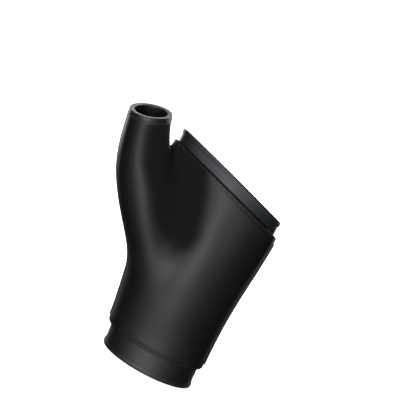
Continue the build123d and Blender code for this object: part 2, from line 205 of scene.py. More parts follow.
# ---- the palm's relief, which stretch fabric follows ----
# Each mound is a soft bump: its middle, its reach across and along, a turn in degrees, and its height.
relief = dict(
    mounds=[
        dict(x=-27.0, z=100.0, across=14.5, along=27.0, turn=12.0, height=-4.4),  # hollow of the palm
        dict(x=11.0, z=88.0, across=11.0, along=26.0, turn=-4.0, height=0.5),  # little finger's side
        dict(x=-4.0, z=88.0, across=9.0, along=28.0, turn=6.0, height=0.9),
    ],
    # height, and how far the hollow where the thumb joins the hand reaches there
    fillet=[(45.0, 2.5), (75.0, 7.0), (100.0, 13.0), (122.0, 8.0), (140.0, 6.0)],
    # where the cloth is slack and matt, and its colour is darkened as painted shade: height, left side,
    # right side
    slack=dict(
        z=[76.0, 82.0, 90.0, 103.0, 115.0, 131.0],
        left=[-24.0, -33.0, -41.0, -50.0, -60.0, -66.0],
        right=[-13.0, -9.5, -9.0, -12.5, -16.5, -24.0],
        leftFade=(-3.0, 7.0),
        rightFade=(-3.0, 5.0),
        lowerFade=(66.0, 86.0),
        frontFade=(0.0, 6.0),
    ),
    front=(0.0, 9.0),  # the relief fades in over this depth in front of the side seams
    wavesFrom=(12.0, 24.0),
    # shallow waves in the stretched cloth: direction (x, z) per mm, phase, height
    waves=[(0.05, 0.21, 0.4, 0.06), (-0.12, 0.15, 2.1, 0.06), (0.17, 0.08, 4.0, 0.04)],
)


# how far a point is outside the hand, where each fabric lies at a value of its own
def lift(p):
    x, y, z = p.T
    a, b = handGrowth(p), thumbGrowth(p)
    reach = np.interp(z, *zip(*relief["fillet"]))
    near = np.maximum(reach - np.abs(a - b), 0) / reach
    d = np.minimum(a, b) - near * near * reach / 4
    front = ramp(-y, *relief["front"])
    for m in relief["mounds"]:
        turn = math.radians(m["turn"])
        dx, dz = x - m["x"], z - m["z"]
        u, v = dx * math.cos(turn) + dz * math.sin(turn), dz * math.cos(turn) - dx * math.sin(turn)
        d = d - front * m["height"] * np.exp(-((u / m["across"]) ** 2) - (v / m["along"]) ** 2)
    for alongX, alongZ, phase, height in relief["waves"]:
        d = d - front * ramp(z, *relief["wavesFrom"]) * height * np.sin(alongX * x + alongZ * z + phase)
    return d


# how tightly the cloth is stretched: over the mounds it shines, in the hollow it hangs slack and matt, and
# there its colour is darkened as painted shade
def shineAndPaintedShadeOf(p):
    x, y, z = p.T
    area = relief["slack"]
    left, right = np.interp(z, area["z"], area["left"]), np.interp(z, area["z"], area["right"])
    slack = ramp(x - left, *area["leftFade"]) * ramp(right - x, *area["rightFade"])
    return 1 - slack * ramp(z, *area["lowerFade"]) * ramp(-y, *area["frontFade"])


# the slope of a field at each point, by small steps
def slopeOf(field, p, step=0.05):
    g = np.empty_like(p)
    for k in range(3):
        e = np.zeros(3)
        e[k] = step
        g[:, k] = (field(p + e) - field(p - e)) / (2 * step)
    return g


# the direction straight out of the cloth
def outward(p):
    g = slopeOf(lift, p)
    return g / np.maximum(np.linalg.norm(g, axis=1, keepdims=True), 1e-6)


# moves points onto the surface at a lift, and onto the line where a second field is zero
def settle(p, height, field=None, rounds=3):
    p = p.copy()
    for _ in range(rounds):
        g = slopeOf(lift, p)
        p -= g * ((lift(p) - height) / np.maximum((g * g).sum(1), 0.05))[:, None]
        if field is not None:
            g2 = slopeOf(field, p)
            n = g / np.maximum(np.linalg.norm(g, axis=1, keepdims=True), 1e-6)
            g2 -= n * (g2 * n).sum(1)[:, None]
            p -= g2 * (field(p) / np.maximum((g2 * g2).sum(1), 1e-6))[:, None]
    return p


# ---- where the openings and the side seams run ----
seams = dict(
    web=2.0,  # the thumb's opening and the fingers' meet this far beyond the outer layer
    beyond=50.0,  # a height that no opening cuts
    thumbX=(47.0, 58.0),
    webZ=(-106.0, -84.0),
    webX=(0.0, 22.0),
    fromZ=(28.0, 62.0),
)
tilt = math.radians(openings["tilt"])
radialX = np.interp(openings["radialHeight"], hand["height"], radialEdge) - layers["inner"]
ulnarX = np.interp(openings["ulnarHeight"], hand["height"], ulnarEdge) + layers["inner"]
webX = radialX - layers["outer"] - seams["web"]
radialCorner = np.array([radialX, 0, openings["radialHeight"]])
fingerRun = np.array([ulnarX - radialX, 0, openings["ulnarHeight"] - openings["radialHeight"]])
eyeLine = np.array([0, -math.cos(tilt), math.sin(tilt)])  # the finger opening is seen edge-on along this
fingerNormal = np.cross(fingerRun, eyeLine)
fingerNormal /= np.linalg.norm(fingerNormal) * np.sign(fingerNormal[2])
rimCentre = thumbLine(np.array([thumb["height"][-1]]))[0]
rimAlong = rimCentre - thumbLine(np.array([thumb["height"][-2]]))[0]
rimAlong /= np.linalg.norm(rimAlong)


# how far a point is on the cloth's side of each opening
def aboveHeight(height):
    return lambda p: p[:, 2] - height


def belowFingers(depth):
    return lambda p: np.where(p[:, 0] > webX, (radialCorner - p) @ fingerNormal - depth, seams["beyond"])


def belowThumbRim(depth):
    return lambda p: np.where(p[:, 0] < webX, (rimCentre - p) @ rimAlong - depth, seams["beyond"])


# distance in front of the side seams: it follows the middle of the thumb, and crosses the web to the hand
def palmSide(p):
    x, y, z = p.T
    onThumb = np.maximum(ramp(-x, *seams["thumbX"]), ramp(-z, *seams["webZ"]) * ramp(-x, *seams["webX"]))
    seam = thumbY(z) * onThumb * ramp(z, *seams["fromZ"])
    return seam - y


# ---- meshes: a sheet is its points and its faces ----
# the squares of a grid of points, which may close on itself along its rows and along its columns
def gridFaces(rows, columns, closeRows=False, closeColumns=False):
    faces = []
    for r in range(rows if closeColumns else rows - 1):
        here, there = r * columns, (r + 1) % rows * columns
        for c in range(columns if closeRows else columns - 1):
            after = (c + 1) % columns
            faces.append((here + c, here + after, there + after, there + c))
    return faces


# a tube through rings of points, with both ends closed
def closedTube(rings):
    n, last = len(rings[0]), (len(rings) - 1) * len(rings[0])
    ends = [tuple(reversed(range(n))), tuple(range(last, last + n))]
    return np.concatenate(rings), gridFaces(len(rings), n, closeRows=True) + ends


# the distance run along a line, at each of its points
def runAlong(line):
    return np.concatenate([[0], np.cumsum(np.linalg.norm(np.diff(line, axis=0), axis=1))])


# points are in millimetres unless a scale says otherwise
def meshOf(name, points, faces, scale=mm):
    mesh = bpy.data.meshes.new(name)
    mesh.from_pydata((np.asarray(points) * scale).tolist(), [], [tuple(int(i) for i in f) for f in faces])
    mesh.validate()
    return mesh


def pieceOf(name, mesh):
    piece = bpy.data.objects.new(name, mesh)
    bpy.context.scene.collection.objects.link(piece)
    return piece


form = dict(
    around=72,
    step=4.0,
    handZ=(-10, 162),
    thumbZ=(46, 160),
    lift=2.0,
    voxel=1.2,
    smoothing=6,
    ease=0.6,
    spare=4.0,
    snap=0.28,
    onLine=0.05,  # a point this near a line counts as being on it
)


# the whole hand as one closed mesh of even squares, on the surface at a lift
def handMesh():
    turns = np.linspace(0, 2 * math.pi, form["around"], endpoint=False)
    c, s = np.cos(turns), np.sin(turns)
    rings = []
    for z in np.arange(*form["handZ"], form["step"]):
        depth = np.where(s < 0, palmDepth(z), backDepth(z)) + form["lift"]
        half = halfBreadth(z) + form["lift"]
        rings.append(np.stack([centreX(z) + half * c, depth * s, np.full_like(c, z)], -1))
    tubeA = closedTube(rings)
    rings = []
    for t in np.arange(*form["thumbZ"], form["step"]):
        across, back, along = thumbFrame(np.array([t]))
        grown = form["lift"] * thumbWall(t)
        ring = thumbLine(np.array([t])) + (thumbBreadth(t) + grown) * c[:, None] * across
        rings.append(ring + (thumbDepth(t) + grown) * s[:, None] * back)
    tubeB = closedTube(rings)
    points = np.concatenate([tubeA[0], tubeB[0]])
    faces = tubeA[1] + [tuple(i + len(tubeA[0]) for i in f) for f in tubeB[1]]
    raw = pieceOf("handForm", meshOf("handForm", points, faces, 1.0))
    remesh = raw.modifiers.new("even", "REMESH")
    remesh.mode = "VOXEL"
    remesh.voxel_size = form["voxel"]
    ready = raw.evaluated_get(bpy.context.evaluated_depsgraph_get()).to_mesh()
    p = np.array([v.co for v in ready.vertices], float)
    f = [tuple(q.vertices) for q in ready.polygons]
    bpy.data.objects.remove(raw)
    for field in (aboveHeight(-form["spare"]), belowFingers(-form["spare"]), belowThumbRim(-form["spare"])):
        p, f = trim((p, f), field)
    links = np.array(sorted({(min(a, b), max(a, b)) for q in f for a, b in zip(q, q[1:] + q[:1])}))
    count = np.bincount(links.ravel(), minlength=len(p))[:, None]
    p = settle(p, form["lift"])
    for _ in range(form["smoothing"]):
        total = np.zeros_like(p)
        np.add.at(total, links[:, 0], p[links[:, 1]])
        np.add.at(total, links[:, 1], p[links[:, 0]])
        pull = total / count - p
        n = outward(p)
        p = p + form["ease"] * (pull - n * (pull * n).sum(1)[:, None])
        p = settle(p, form["lift"], rounds=1)
    return settle(p, form["lift"]), f


# keeps the part of a sheet where a field is positive, and cuts the faces that cross it
# points near the line are moved onto it; with both, the other part stays and the cut is a line of edges
def trim(sheet, field, height=None, both=False):
    points, faces = sheet
    value = field(points)
    near = np.abs(value) < (form["snap"] if height is not None else 1e-6)
    if height is not None and near.any():
        points = points.copy()
        points[near] = settle(points[near], height, field)
    side = np.where(near, 0, np.sign(value)).astype(int)
    keep, made, extra = [], {}, []
    for f in faces:
        sides = [side[i] for i in f]
        if min(sides) >= 0 or both and max(sides) <= 0:
            keep.append(f)
        if min(sides) >= 0 or max(sides) <= 0:
            continue
        cut, rest = [], []
        for k, i in enumerate(f):
            j = f[(k + 1) % len(f)]
            if side[i] >= 0:
                cut.append(i)
            if side[i] <= 0:
                rest.append(i)
            if side[i] * side[j] < 0:
                key = (min(i, j), max(i, j))
                if key not in made:
                    a, b = key
                    share = value[a] / (value[a] - value[b])
                    made[key] = len(points) + len(extra)
                    extra.append(points[a] + share * (points[b] - points[a]))
                cut.append(made[key])
                rest.append(made[key])
        keep += [tuple(part) for part in ((cut, rest) if both else (cut,)) if len(part) > 2]
    if extra:
        extra = np.array(extra)
        if height is not None:
            extra = settle(extra, height, field)
        points = np.concatenate([points, extra])
    used = sorted({i for f in keep for i in f})
    place = {old: k for k, old in enumerate(used)}
    return points[used], [tuple(place[i] for i in f) for f in keep]


# the edges that only one face uses, as (from, to) in that face's order
def rimEdges(faces):
    seen = {}
    for f in faces:
        for k, i in enumerate(f):
            j = f[(k + 1) % len(f)]
            seen[(i, j)] = True
    return [e for e in seen if (e[1], e[0]) not in seen]


# a closed cloth from a sheet: outer face, inner face, and a rim that bulges
def thicken(sheet, outer, inner, bulge=0.0, steps=4):
    points, faces = sheet
    n = len(points)
    normal = outward(points)
    top, low = settle(points, outer), settle(points, inner)
    edges = rimEdges(faces)
    away = np.zeros_like(points)
    for i, j in edges:
        side = np.cross(points[j] - points[i], normal[i] + normal[j])
        side /= np.linalg.norm(side) + 1e-9
        away[i] += side
        away[j] += side
    rim = sorted({i for e in edges for i in e})
    size = np.linalg.norm(away[rim], axis=1, keepdims=True)
    side = away[rim] / np.maximum(size, 1e-6)
    middle, half = (top[rim] + low[rim]) / 2, (top[rim] - low[rim]) / 2
    push = np.broadcast_to(np.asarray(bulge, float), (n,))[rim][:, None]
    rings = [{i: i for i in rim}]
    added = []
    for k in range(1, steps):
        turn = math.pi * k / steps
        start = 2 * n + len(rim) * (k - 1)
        rings.append({i: start + m for m, i in enumerate(rim)})
        added.append(middle + half * math.cos(turn) + side * push * math.sin(turn))
    rings.append({i: n + i for i in rim})
    solid = list(faces) + [tuple(n + i for i in reversed(f)) for f in faces]
    for i, j in edges:
        for a, b in zip(rings, rings[1:]):
            solid.append((a[j], a[i], b[i], b[j]))
    source = list(range(n)) * 2 + rim * (steps - 1)
    return np.concatenate([top, low] + added), solid, source


# the closed lines of points round the rims of a sheet
def rimLines(sheet):
    points, faces = sheet
    follow, lines = dict(rimEdges(faces)), []
    while follow:
        start, at = next(iter(follow.items()))
        line = [start]
        del follow[start]
        while at != start:
            line.append(at)
            at = follow.pop(at)
        lines.append(points[line])
    return lines


# the closed line on the surface at a lift where a field is zero, as evenly spaced points
def ringLine(field, height, spacing):
    lines = rimLines(trim(base, field, form["lift"]))
    line = min(lines, key=lambda q: np.abs(field(q)).mean())
    return evenLine(settle(line, height, field), spacing, closed=True, height=height, field=field)


# points at even spacing along a line, put back on the surface if a height is given
def evenLine(line, spacing, closed=False, height=None, field=None):
    if closed:
        line = np.concatenate([line, line[:1]])
    run = runAlong(line)
    count = max(int(round(run[-1] / spacing)), 3)
    where = np.linspace(0, run[-1], count + 1)[: count if closed else count + 1]
    even = np.stack([np.interp(where, run, line[:, k]) for k in range(3)], -1)
    return even if height is None else settle(even, height, field)


# along the line, out of the cloth, and to the left of the line on the cloth
def lineFrame(line, closed):
    if closed:
        along = np.roll(line, -1, 0) - np.roll(line, 1, 0)
    else:
        along = np.gradient(line, axis=0)
    along /= np.linalg.norm(along, axis=1, keepdims=True)
    out = outward(line)
    out -= along * (out * along).sum(1)[:, None]
    out /= np.linalg.norm(out, axis=1, keepdims=True)
    return along, out, np.cross(out, along)


# a strip of cloth that follows an open line on the surface
def stripSheet(line, width, columns, height):
    side = lineFrame(line, False)[2]
    offsets = np.linspace(-width / 2, width / 2, columns)
    points = np.concatenate([line + o * side for o in offsets])
    points = settle(points, height)
    uv = np.stack([np.tile(runAlong(line), columns), np.repeat(offsets, len(line))], -1)
    return (points, gridFaces(columns, len(line))), uv


# a named piece: its mesh and threads, the body it rides, its slot, and the CAD nodes that it stands for
def addPiece(name, points, faces, uv, body, material, replaces=(), shineAndPaintedLight=None):
    mesh = meshOf(name, points, faces)
    layer = mesh.uv_layers.new(name="threads")
    uv = np.asarray(uv) * mm
    if len(uv) == len(points):
        corner = np.zeros(len(mesh.loops), int)
        mesh.loops.foreach_get("vertex_index", corner)
        uv = uv[corner]
    layer.data.foreach_set("uv", uv.astype(np.float32).ravel())
    mesh.shade_smooth()
    if shineAndPaintedLight is not None:
        mesh.attributes.new("shineAndPaintedLight", "FLOAT", "POINT").data.foreach_set("value", shineAndPaintedLight.astype(np.float32))
    piece = pieceOf(name, mesh)
    mesh.materials.append(material)
    if body:
        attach(piece, body)
    if replaces:
        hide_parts(*replaces)
    return piece


# lays a sheet flat, as it was cut, and turns it so that its threads run from the cuff to the fingers
def layFlat(sheet):
    points, faces = sheet
    piece = pieceOf("flat", meshOf("flat", points, faces))
    piece.data.uv_layers.new(name="threads")
    bpy.context.view_layer.objects.active = piece
    piece.select_set(True)
    bpy.ops.object.mode_set(mode="EDIT")
    bpy.ops.mesh.select_all(action="SELECT")
    bpy.ops.uv.unwrap(method="ANGLE_BASED", margin=0)
    bpy.ops.object.mode_set(mode="OBJECT")
    mesh = piece.data
    corner = np.zeros(len(mesh.loops), int)
    mesh.loops.foreach_get("vertex_index", corner)
    flat = np.zeros(len(mesh.loops) * 2, np.float32)
    mesh.uv_layers[0].data.foreach_get("uv", flat)
    uv = np.zeros((len(points), 2))
    uv[corner] = flat.reshape(-1, 2)
    bpy.data.objects.remove(piece)
    uv -= uv.mean(0)
    target = np.stack([points[:, 0], points[:, 2]], -1)
    target = target - target.mean(0)
    left, _, right = np.linalg.svd(uv.T @ target)
    uv = uv @ (left @ right)
    edges = np.array([(f[0], f[1]) for f in faces])
    real = np.linalg.norm(points[edges[:, 0]] - points[edges[:, 1]], axis=1)
    drawn = np.linalg.norm(uv[edges[:, 0]] - uv[edges[:, 1]], axis=1)
    return uv * np.median(real / np.maximum(drawn, 1e-9))


# ---- materials ----
def linear(hexColour):
    parts = [int(hexColour[i : i + 2], 16) / 255 for i in (0, 2, 4)]
    return [c / 12.92 if c <= 0.04045 else ((c + 0.055) / 1.055) ** 2.4 for c in parts] + [1.0]


# adds a node with its settings; an input is linked if it is a socket, and set if it is a value
def addNode(tree, kind, inputs=(), **settings):
    made = tree.nodes.new("ShaderNode" + kind)
    for name, value in settings.items():
        setattr(made, name, value)
    for key, value in dict(inputs).items():
        if isinstance(value, bpy.types.NodeSocket):
            tree.links.new(value, made.inputs[key])
        else:
            made.inputs[key].default_value = value
    return made


def startMaterial(name, look):
    material = bpy.data.materials.new(name)
    material.use_nodes = True
    tree = material.node_tree
    shader = tree.nodes["Principled BSDF"]
    for socket, value in look["shader"].items():
        shader.inputs[socket].default_value = value
    return material, tree, shader


def compute(tree, operation, *values):
    return addNode(tree, "Math", dict(enumerate(values)), operation=operation).outputs[0]


# from one range of values to another; the sockets are value, from low, from high, to low, to high
def remap(tree, *values):
    return addNode(tree, "MapRange", dict(enumerate(values))).outputs[0]


# a noise whose features are about this many millimetres wide
def noise(tree, where, size, detail):
    scale = 1 / (size * mm)
    return addNode(tree, "TexNoise", {"Vector": where, "Scale": scale, "Detail": detail}).outputs[0]


def blendColours(tree, share, first, second):
    return addNode(tree, "Mix", {"Factor": share, 6: first, 7: second}, data_type="RGBA").outputs[2]


# position along the threads, counted in threads
def threadCount(tree, across, along):
    uv = addNode(tree, "UVMap", uv_map="threads").outputs[0]
    scale = (1 / (across * mm), 1 / (along * mm), 0)
    counted = addNode(tree, "VectorMath", {0: uv, 1: scale}, operation="MULTIPLY").outputs[0]
    split = addNode(tree, "SeparateXYZ", {0: counted})
    return split.outputs[0], split.outputs[1]


# colour that drifts over the cloth, with paler specks of fluff, and painted shade in the valleys between its
# threads
def clothColour(tree, look, height):
    where = addNode(tree, "TexCoord").outputs["Object"]
    drift = noise(tree, where, look["drift"], 3.0)
    fluff = noise(tree, where, look["fluff"], 2.0)
    speck = remap(tree, fluff, 0.62, 0.78, 0.0, look["fluffShare"])
    even = remap(tree, drift, 0.35, 0.65, 0.0, 1.0)
    ground = blendColours(tree, even, linear(look["dark"]), linear(look["light"]))
    # painted shade: the colour darkens towards the bottom of each valley
    shade = remap(tree, height, 0.0, 1.0, look["valleyShade"], 1.0)
    deep = blendColours(tree, shade, linear("000000"), ground)
    return blendColours(tree, speck, deep, linear(look["lint"]))


def finishCloth(tree, shader, look, height):
    colour = clothColour(tree, look, height)
    rough = remap(tree, height, 0.0, 1.0, look["roughDeep"], look["roughTop"])
    # a mask sets the roughness and blends in a second colour: painted shade in the outer cloth's palm
    # hollow, and the inner cloth's plain colour outside its finger band, where its own colour is a painted
    # highlight
    if "slackRough" in look:
        shineAndPaintedLight = addNode(tree, "Attribute", attribute_name="shineAndPaintedLight").outputs["Fac"]
        colour = blendColours(tree, shineAndPaintedLight, linear(look["paintedShadeAndPlainColour"]), colour)
        rough = addNode(tree, "Mix", {"Factor": shineAndPaintedLight, 2: look["slackRough"], 3: rough}).outputs[0]
    tree.links.new(colour, shader.inputs["Base Color"])
    tree.links.new(rough, shader.inputs["Roughness"])
    nap = noise(tree, addNode(tree, "TexCoord").outputs["Object"], look["nap"], 2.0)
    total = compute(tree, "ADD", height, compute(tree, "MULTIPLY", nap, look["napShare"]))
    addBump(tree, shader, look, total)


def addBump(tree, shader, look, height):
    bump = {"Strength": look["bump"], "Distance": look["relief"] * mm, "Height": height}
    tree.links.new(addNode(tree, "Bump", bump).outputs[0], shader.inputs["Normal"])


# a thread or loop across a count: 0 between two of them, and 1 on the middle of each
def ridgeOf(tree, count):
    return compute(tree, "MULTIPLY", compute(tree, "PINGPONG", count, 0.5), 2.0)


# a knit: upright wales of small V-shaped loops
def knitMaterial(name, look):
    material, tree, shader = startMaterial(name, look)
    across, along = threadCount(tree, look["wale"], look["course"])
    leg = compute(tree, "PINGPONG", across, 0.5)
    wale = compute(tree, "POWER", compute(tree, "MULTIPLY", leg, 2.0), 0.6)
    loop = ridgeOf(tree, compute(tree, "MULTIPLY_ADD", leg, 1.4, along))
    height = compute(tree, "MULTIPLY", wale, compute(tree, "MULTIPLY_ADD", loop, 0.45, 0.55))
    finishCloth(tree, shader, look, height)
    return material


# a woven tape: rounded ribs across it, crossed by finer threads
def wovenMaterial(name, look):
    material, tree, shader = startMaterial(name, look)
    along, across = threadCount(tree, look["rib"], look["thread"])
    rib = compute(tree, "POWER", ridgeOf(tree, along), 0.5)
    row = compute(tree, "FLOOR", compute(tree, "MULTIPLY", along, 2.0))
    thread = ridgeOf(tree, compute(tree, "MULTIPLY_ADD", row, 0.5, across))
    height = compute(tree, "MULTIPLY", rib, compute(tree, "MULTIPLY_ADD", thread, 0.5, 0.5))
    finishCloth(tree, shader, look, height)
    return material


# a brushed pile of tiny loops
def pileMaterial(name, look):
    material, tree, shader = startMaterial(name, look)
    where = addNode(tree, "TexCoord").outputs["Object"]
    cell = {"Vector": where, "Scale": 1 / (look["loop"] * mm), "Randomness": 1.0}
    height = compute(tree, "SUBTRACT", 1.0, addNode(tree, "TexVoronoi", cell).outputs["Distance"])
    finishCloth(tree, shader, look, height)
    return material


# moulded plastic or rolled steel, with a fine grain that may run one way
def solidMaterial(name, look):
    material, tree, shader = startMaterial(name, look)
    where = addNode(tree, "TexCoord").outputs["Object"]
    grain = addNode(tree, "VectorMath", {0: where, 1: look["stretch"]}, operation="MULTIPLY").outputs[0]
    marks = noise(tree, grain, look["grain"], 4.0)
    haze = noise(tree, where, look["haze"], 2.0)
    colour = blendColours(tree, haze, linear(look["dark"]), linear(look["light"]))
    tree.links.new(colour, shader.inputs["Base Color"])
    tree.links.new(remap(tree, marks, 0.3, 0.7, look["smooth"], look["rough"]), shader.inputs["Roughness"])
    addBump(tree, shader, look, marks)
    return material


# what every cloth has: its colour drifts, it catches lint, and its valleys have painted shade and are
# rougher
cloth = dict(
    drift=22.0,
    fluff=2.2,
    fluffShare=0.04,
    lint="303136",
    valleyShade=0.72,
    roughDeep=0.62,
    roughTop=0.5,
    nap=0.9,
    napShare=0.5,
    bump=0.35,
    relief=0.1,
)

# warp-knit polyester and elastane, dyed black and laminated: a soft grey bloom where it faces the light
outerLook = dict(
    cloth,
    dark="0b0a0e",
    light="121116",
    slackRough=1.0,
    # painted shade: the near-black colour of the palm's hollow, where the cloth is also matt
    paintedShadeAndPlainColour="030304",
    wale=1.3,  # really about 0.5 mm, drawn coarser so that it shows
    course=1.1,
    shader={"IOR": 1.5, "Specular IOR Level": 0.6},
)
# fine circular knit of nylon and elastane: thinner, smoother and a little cooler, so it shines more; its
# paler teal colour, used only in the finger band, is a painted highlight
innerLook = dict(
    cloth,
    # painted highlight: the teal colour of the finger band
    dark="12181a",
    light="1b2427",
    slackRough=0.55,
    # the inner cloth's plain colour, outside the finger band
    paintedShadeAndPlainColour="0c0c0f",
    wale=1.0,  # really about 0.35 mm, drawn coarser
    course=0.8,
    roughTop=0.45,
    roughDeep=0.6,
    bump=0.3,
    shader={"IOR": 1.5, "Specular IOR Level": 0.7, "Sheen Weight": 0.04, "Sheen Roughness": 0.4},
)
# folded elastic binding, woven: a smooth satin edge that catches the light as a pale line
bindingLook = dict(
    cloth,
    dark="101114",
    light="1a1b1f",
    rib=1.1,
    thread=0.9,
    roughTop=0.45,
    roughDeep=0.65,
    bump=0.45,
    shader={"IOR": 1.5, "Specular IOR Level": 0.8, "Sheen Weight": 0.06, "Sheen Roughness": 0.35},
)
# flat cover-stitched tape, woven: pale diagonal ribs
tapeLook = dict(bindingLook, dark="16171a", light="232429", rib=1.6, thread=0.8, bump=0.6)
# polyester sewing thread, twisted: small glossy ropes
threadLook = dict(
    cloth,
    dark="26262a",
    light="3a3a40",
    rib=0.5,
    thread=0.35,
    roughTop=0.4,
    roughDeep=0.6,
    bump=0.4,
    relief=0.08,
    shader={"IOR": 1.5, "Specular IOR Level": 0.6, "Sheen Weight": 0.2, "Sheen Roughness": 0.3},
)
# brushed nylon loop: a dense, soft pile that looks deep black and dusty
loopLook = dict(
    cloth,
    dark="0c0c0f",
    light="151519",
    loop=0.9,  # really about 0.4 mm, drawn coarser
    fluffShare=0.12,
    bump=0.9,
    relief=0.35,
    shader={"IOR": 1.45, "Specular IOR Level": 0.2, "Sheen Weight": 0.1, "Sheen Roughness": 0.5},
)
# woven elastic webbing: ribs along its length with a slight shine
webbingLook = dict(
    cloth,
    dark="1c1c20",
    light="26262b",
    rib=0.8,
    thread=1.3,
    roughTop=0.5,
    bump=0.6,
    shader={"IOR": 1.5, "Specular IOR Level": 0.5, "Sheen Weight": 0.18, "Sheen Roughness": 0.4},
)
# moulded nylon hook strip: a smooth, slightly waxy black skin
hookLook = dict(
    dark="101012",
    light="17171a",
    stretch=(1.0, 1.0, 1.0),
    grain=0.6,
    haze=14.0,
    smooth=0.32,
    rough=0.5,
    bump=0.25,
    relief=0.05,
    shader={"IOR": 1.53},
)
# spring steel strip, rolled: a soft grey mirror with streaks along its length
steelLook = dict(
    dark="6f7277",
    light="8b8e93",
    stretch=(1.0, 1.0, 0.02),
    grain=0.2,
    haze=18.0,
    smooth=0.36,
    rough=0.48,
    bump=0.08,
    relief=0.01,
    shader={"Metallic": 1.0},
)
# dipped PVC tips: rounded, glossy and soft grey
dipLook = dict(
    dark="8e8e8a",
    light="a2a29d",
    stretch=(1.0, 1.0, 1.0),
    grain=1.5,
    haze=6.0,
    smooth=0.25,
    rough=0.4,
    bump=0.15,
    relief=0.04,
    shader={"IOR": 1.53, "Subsurface Weight": 0.1, "Subsurface Scale": 0.001},
)
# moulded polypropylene stay: milky, with a waxy sheen
polyLook = dict(dipLook, dark="aeb0ae", light="c0c2c0", smooth=0.35, rough=0.5)

outerFabric = knitMaterial("laminated warp knit, black", outerLook)
innerFabric = knitMaterial("fine nylon knit, black", innerLook)
bindingTape = wovenMaterial("folded elastic binding, woven", bindingLook)
seamTape = wovenMaterial("cover-stitched tape, woven", tapeLook)
sewingThread = wovenMaterial("polyester thread, twisted", threadLook)
loopPile = pileMaterial("nylon loop, brushed", loopLook)
elasticWebbing = wovenMaterial("elastic webbing, woven", webbingLook)
hookNylon = solidMaterial("nylon hook strip, moulded", hookLook)
springSteel = solidMaterial("spring steel, rolled", steelLook)
dippedTip = solidMaterial("PVC tip, dipped", dipLook)
polypropylene = solidMaterial("polypropylene, moulded", polyLook)
print("materials made")

cadMaterials = dict(
    thumb_stay=polypropylene,
    radial_back_stay=springSteel,
    ulnar_back_stay=springSteel,
    radial_stay_lower_tip=dippedTip,
    radial_stay_upper_tip=dippedTip,
    ulnar_stay_lower_tip=dippedTip,
    ulnar_stay_upper_tip=dippedTip,
)
for node, material in cadMaterials.items():
    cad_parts[node].data.materials.clear()
    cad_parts[node].data.materials.append(material)


# ---- the panels ----
base = handMesh()
print("hand shaped:", len(base[0]), "points")

panels = dict(
    hem=0.7,  # how far a hem's cut edge bulges
    seam=0.35,
    gap=0.06,
    channel=0.35,  # depth of the channel that a row of stitches pulls in
    channelHalf=1.1,
    pocketRise=0.35,
    pocketSoft=1.3,
    pocketPull=0.6,  # share of a hem's channel that a pocket's stitches pull in
    pocketChannelHalf=0.7,
    pocketFade=3.0,
    row=1.35,  # middle of a hem's row of stitches, from the edge of the cloth
    innerSeam=0.2,
    innerExtra=1.12,  # the inner sleeve is cut longer: it shows at both ends
)
stays = dict(
    bottom=24.0,
    length=84.0,
    spacing=16.0,
    depth=1.15,
    tipWidth=8.0,
    tipThickness=0.9,
    tipEnd=1.0,
    clearance=0.12,
    thumbLow=72.0,
    thumbHigh=130.0,
    pocketWall=1.6,  # from the side of a stay to the edge of its pocket
    rowOutside=0.2,  # from there to the pocket's stitches
    pocketEnd=3.0,  # from the end of a stay to the end of its pocket
    pocketTop=140.0,  # above the upper hem, where the back pockets are open
    cutLength=130.0,
    cutStep=8.0,
)
pocketHalf = stays["tipWidth"] / 2 + stays["pocketWall"]
lowerRow = openings["cuffBand"] + panels["row"]
upperRow = openings["fingerBand"] + panels["row"]


def mid(inside, outside):
    return (inside + outside) / 2


# the hand's mesh, cut at the three openings
def edgesOf(lower, upper, thumbRim, height):
    sheet = base
    for field in (aboveHeight(lower), belowFingers(upper), belowThumbRim(thumbRim)):
        sheet = trim(sheet, field, height)
    return sheet


# where a back stay lies: its lower end, and the directions across it, out of the back and along it
def stayBed(side):
    across = side * stays["spacing"] / 2
    offset = outerOut - stays["depth"]

    def backPoint(z):
        half, back = halfBreadthAt(z) + offset, backDepth(z) + offset
        return np.array([centreAt(z) + across, back * math.sqrt(1 - (across / half) ** 2), z])

    low = backPoint(stays["bottom"])
    along = backPoint(stays["bottom"] + stays["length"]) - low
    along /= np.linalg.norm(along)
    middle = stays["bottom"] + stays["length"] / 2
    steepX = across / (halfBreadthAt(middle) + offset) ** 2
    out = np.array([steepX, low[1] / (backDepth(middle) + offset) ** 2, 0])
    acrossLine = np.cross(out, along)
    acrossLine /= np.linalg.norm(acrossLine)
    return low, acrossLine, np.cross(along, acrossLine), along


def centreAt(z):
    return float(np.interp(z, hand["height"], [-s for s in hand["shift"]]))


def halfBreadthAt(z):
    return float(np.interp(z, hand["height"], [b / 2 for b in hand["breadth"]]))


beds = {side: stayBed(side) for side in (-1, 1)}


# distance across from the middle of a back stay
def besideStay(side):
    low, across, out, along = beds[side]
    return lambda p: (p - low) @ across


# distance across from the middle of the thumb's stay
def besideThumbStay(p):
    line = thumbLine(p[:, 2])
    step = thumbLine(p[:, 2] + 0.5) - thumbLine(p[:, 2] - 0.5)
    run = np.hypot(step[:, 0], step[:, 2])
    return (p[:, 0] - line[:, 0]) * step[:, 2] / run


# how high the outer face of a panel is: stitches pull it in, and stays push it out
def panelHeight(p):
    pull = np.zeros(len(p))
    for row in (aboveHeight(lowerRow), belowFingers(upperRow)):
        pull += np.exp(-((row(p) / panels["channelHalf"]) ** 2))
    raised = np.zeros(len(p))
    onBack = palmSide(p) < 0
    fade = panels["pocketFade"]
    for field, low, high in pocketLines:
        off = np.abs(field(p))
        within = onBack * ramp(p[:, 2], low - fade, low) * ramp(-p[:, 2], -high - fade, -high)
        raised += within * ramp(-off, -pocketHalf, -pocketHalf + panels["pocketSoft"])
        fromRow = off - pocketHalf - stays["rowOutside"]
        pull += panels["pocketPull"] * within * np.exp(-((fromRow / panels["pocketChannelHalf"]) ** 2))
    return outerOut + panels["pocketRise"] * raised - panels["channel"] * np.minimum(pull, 1)


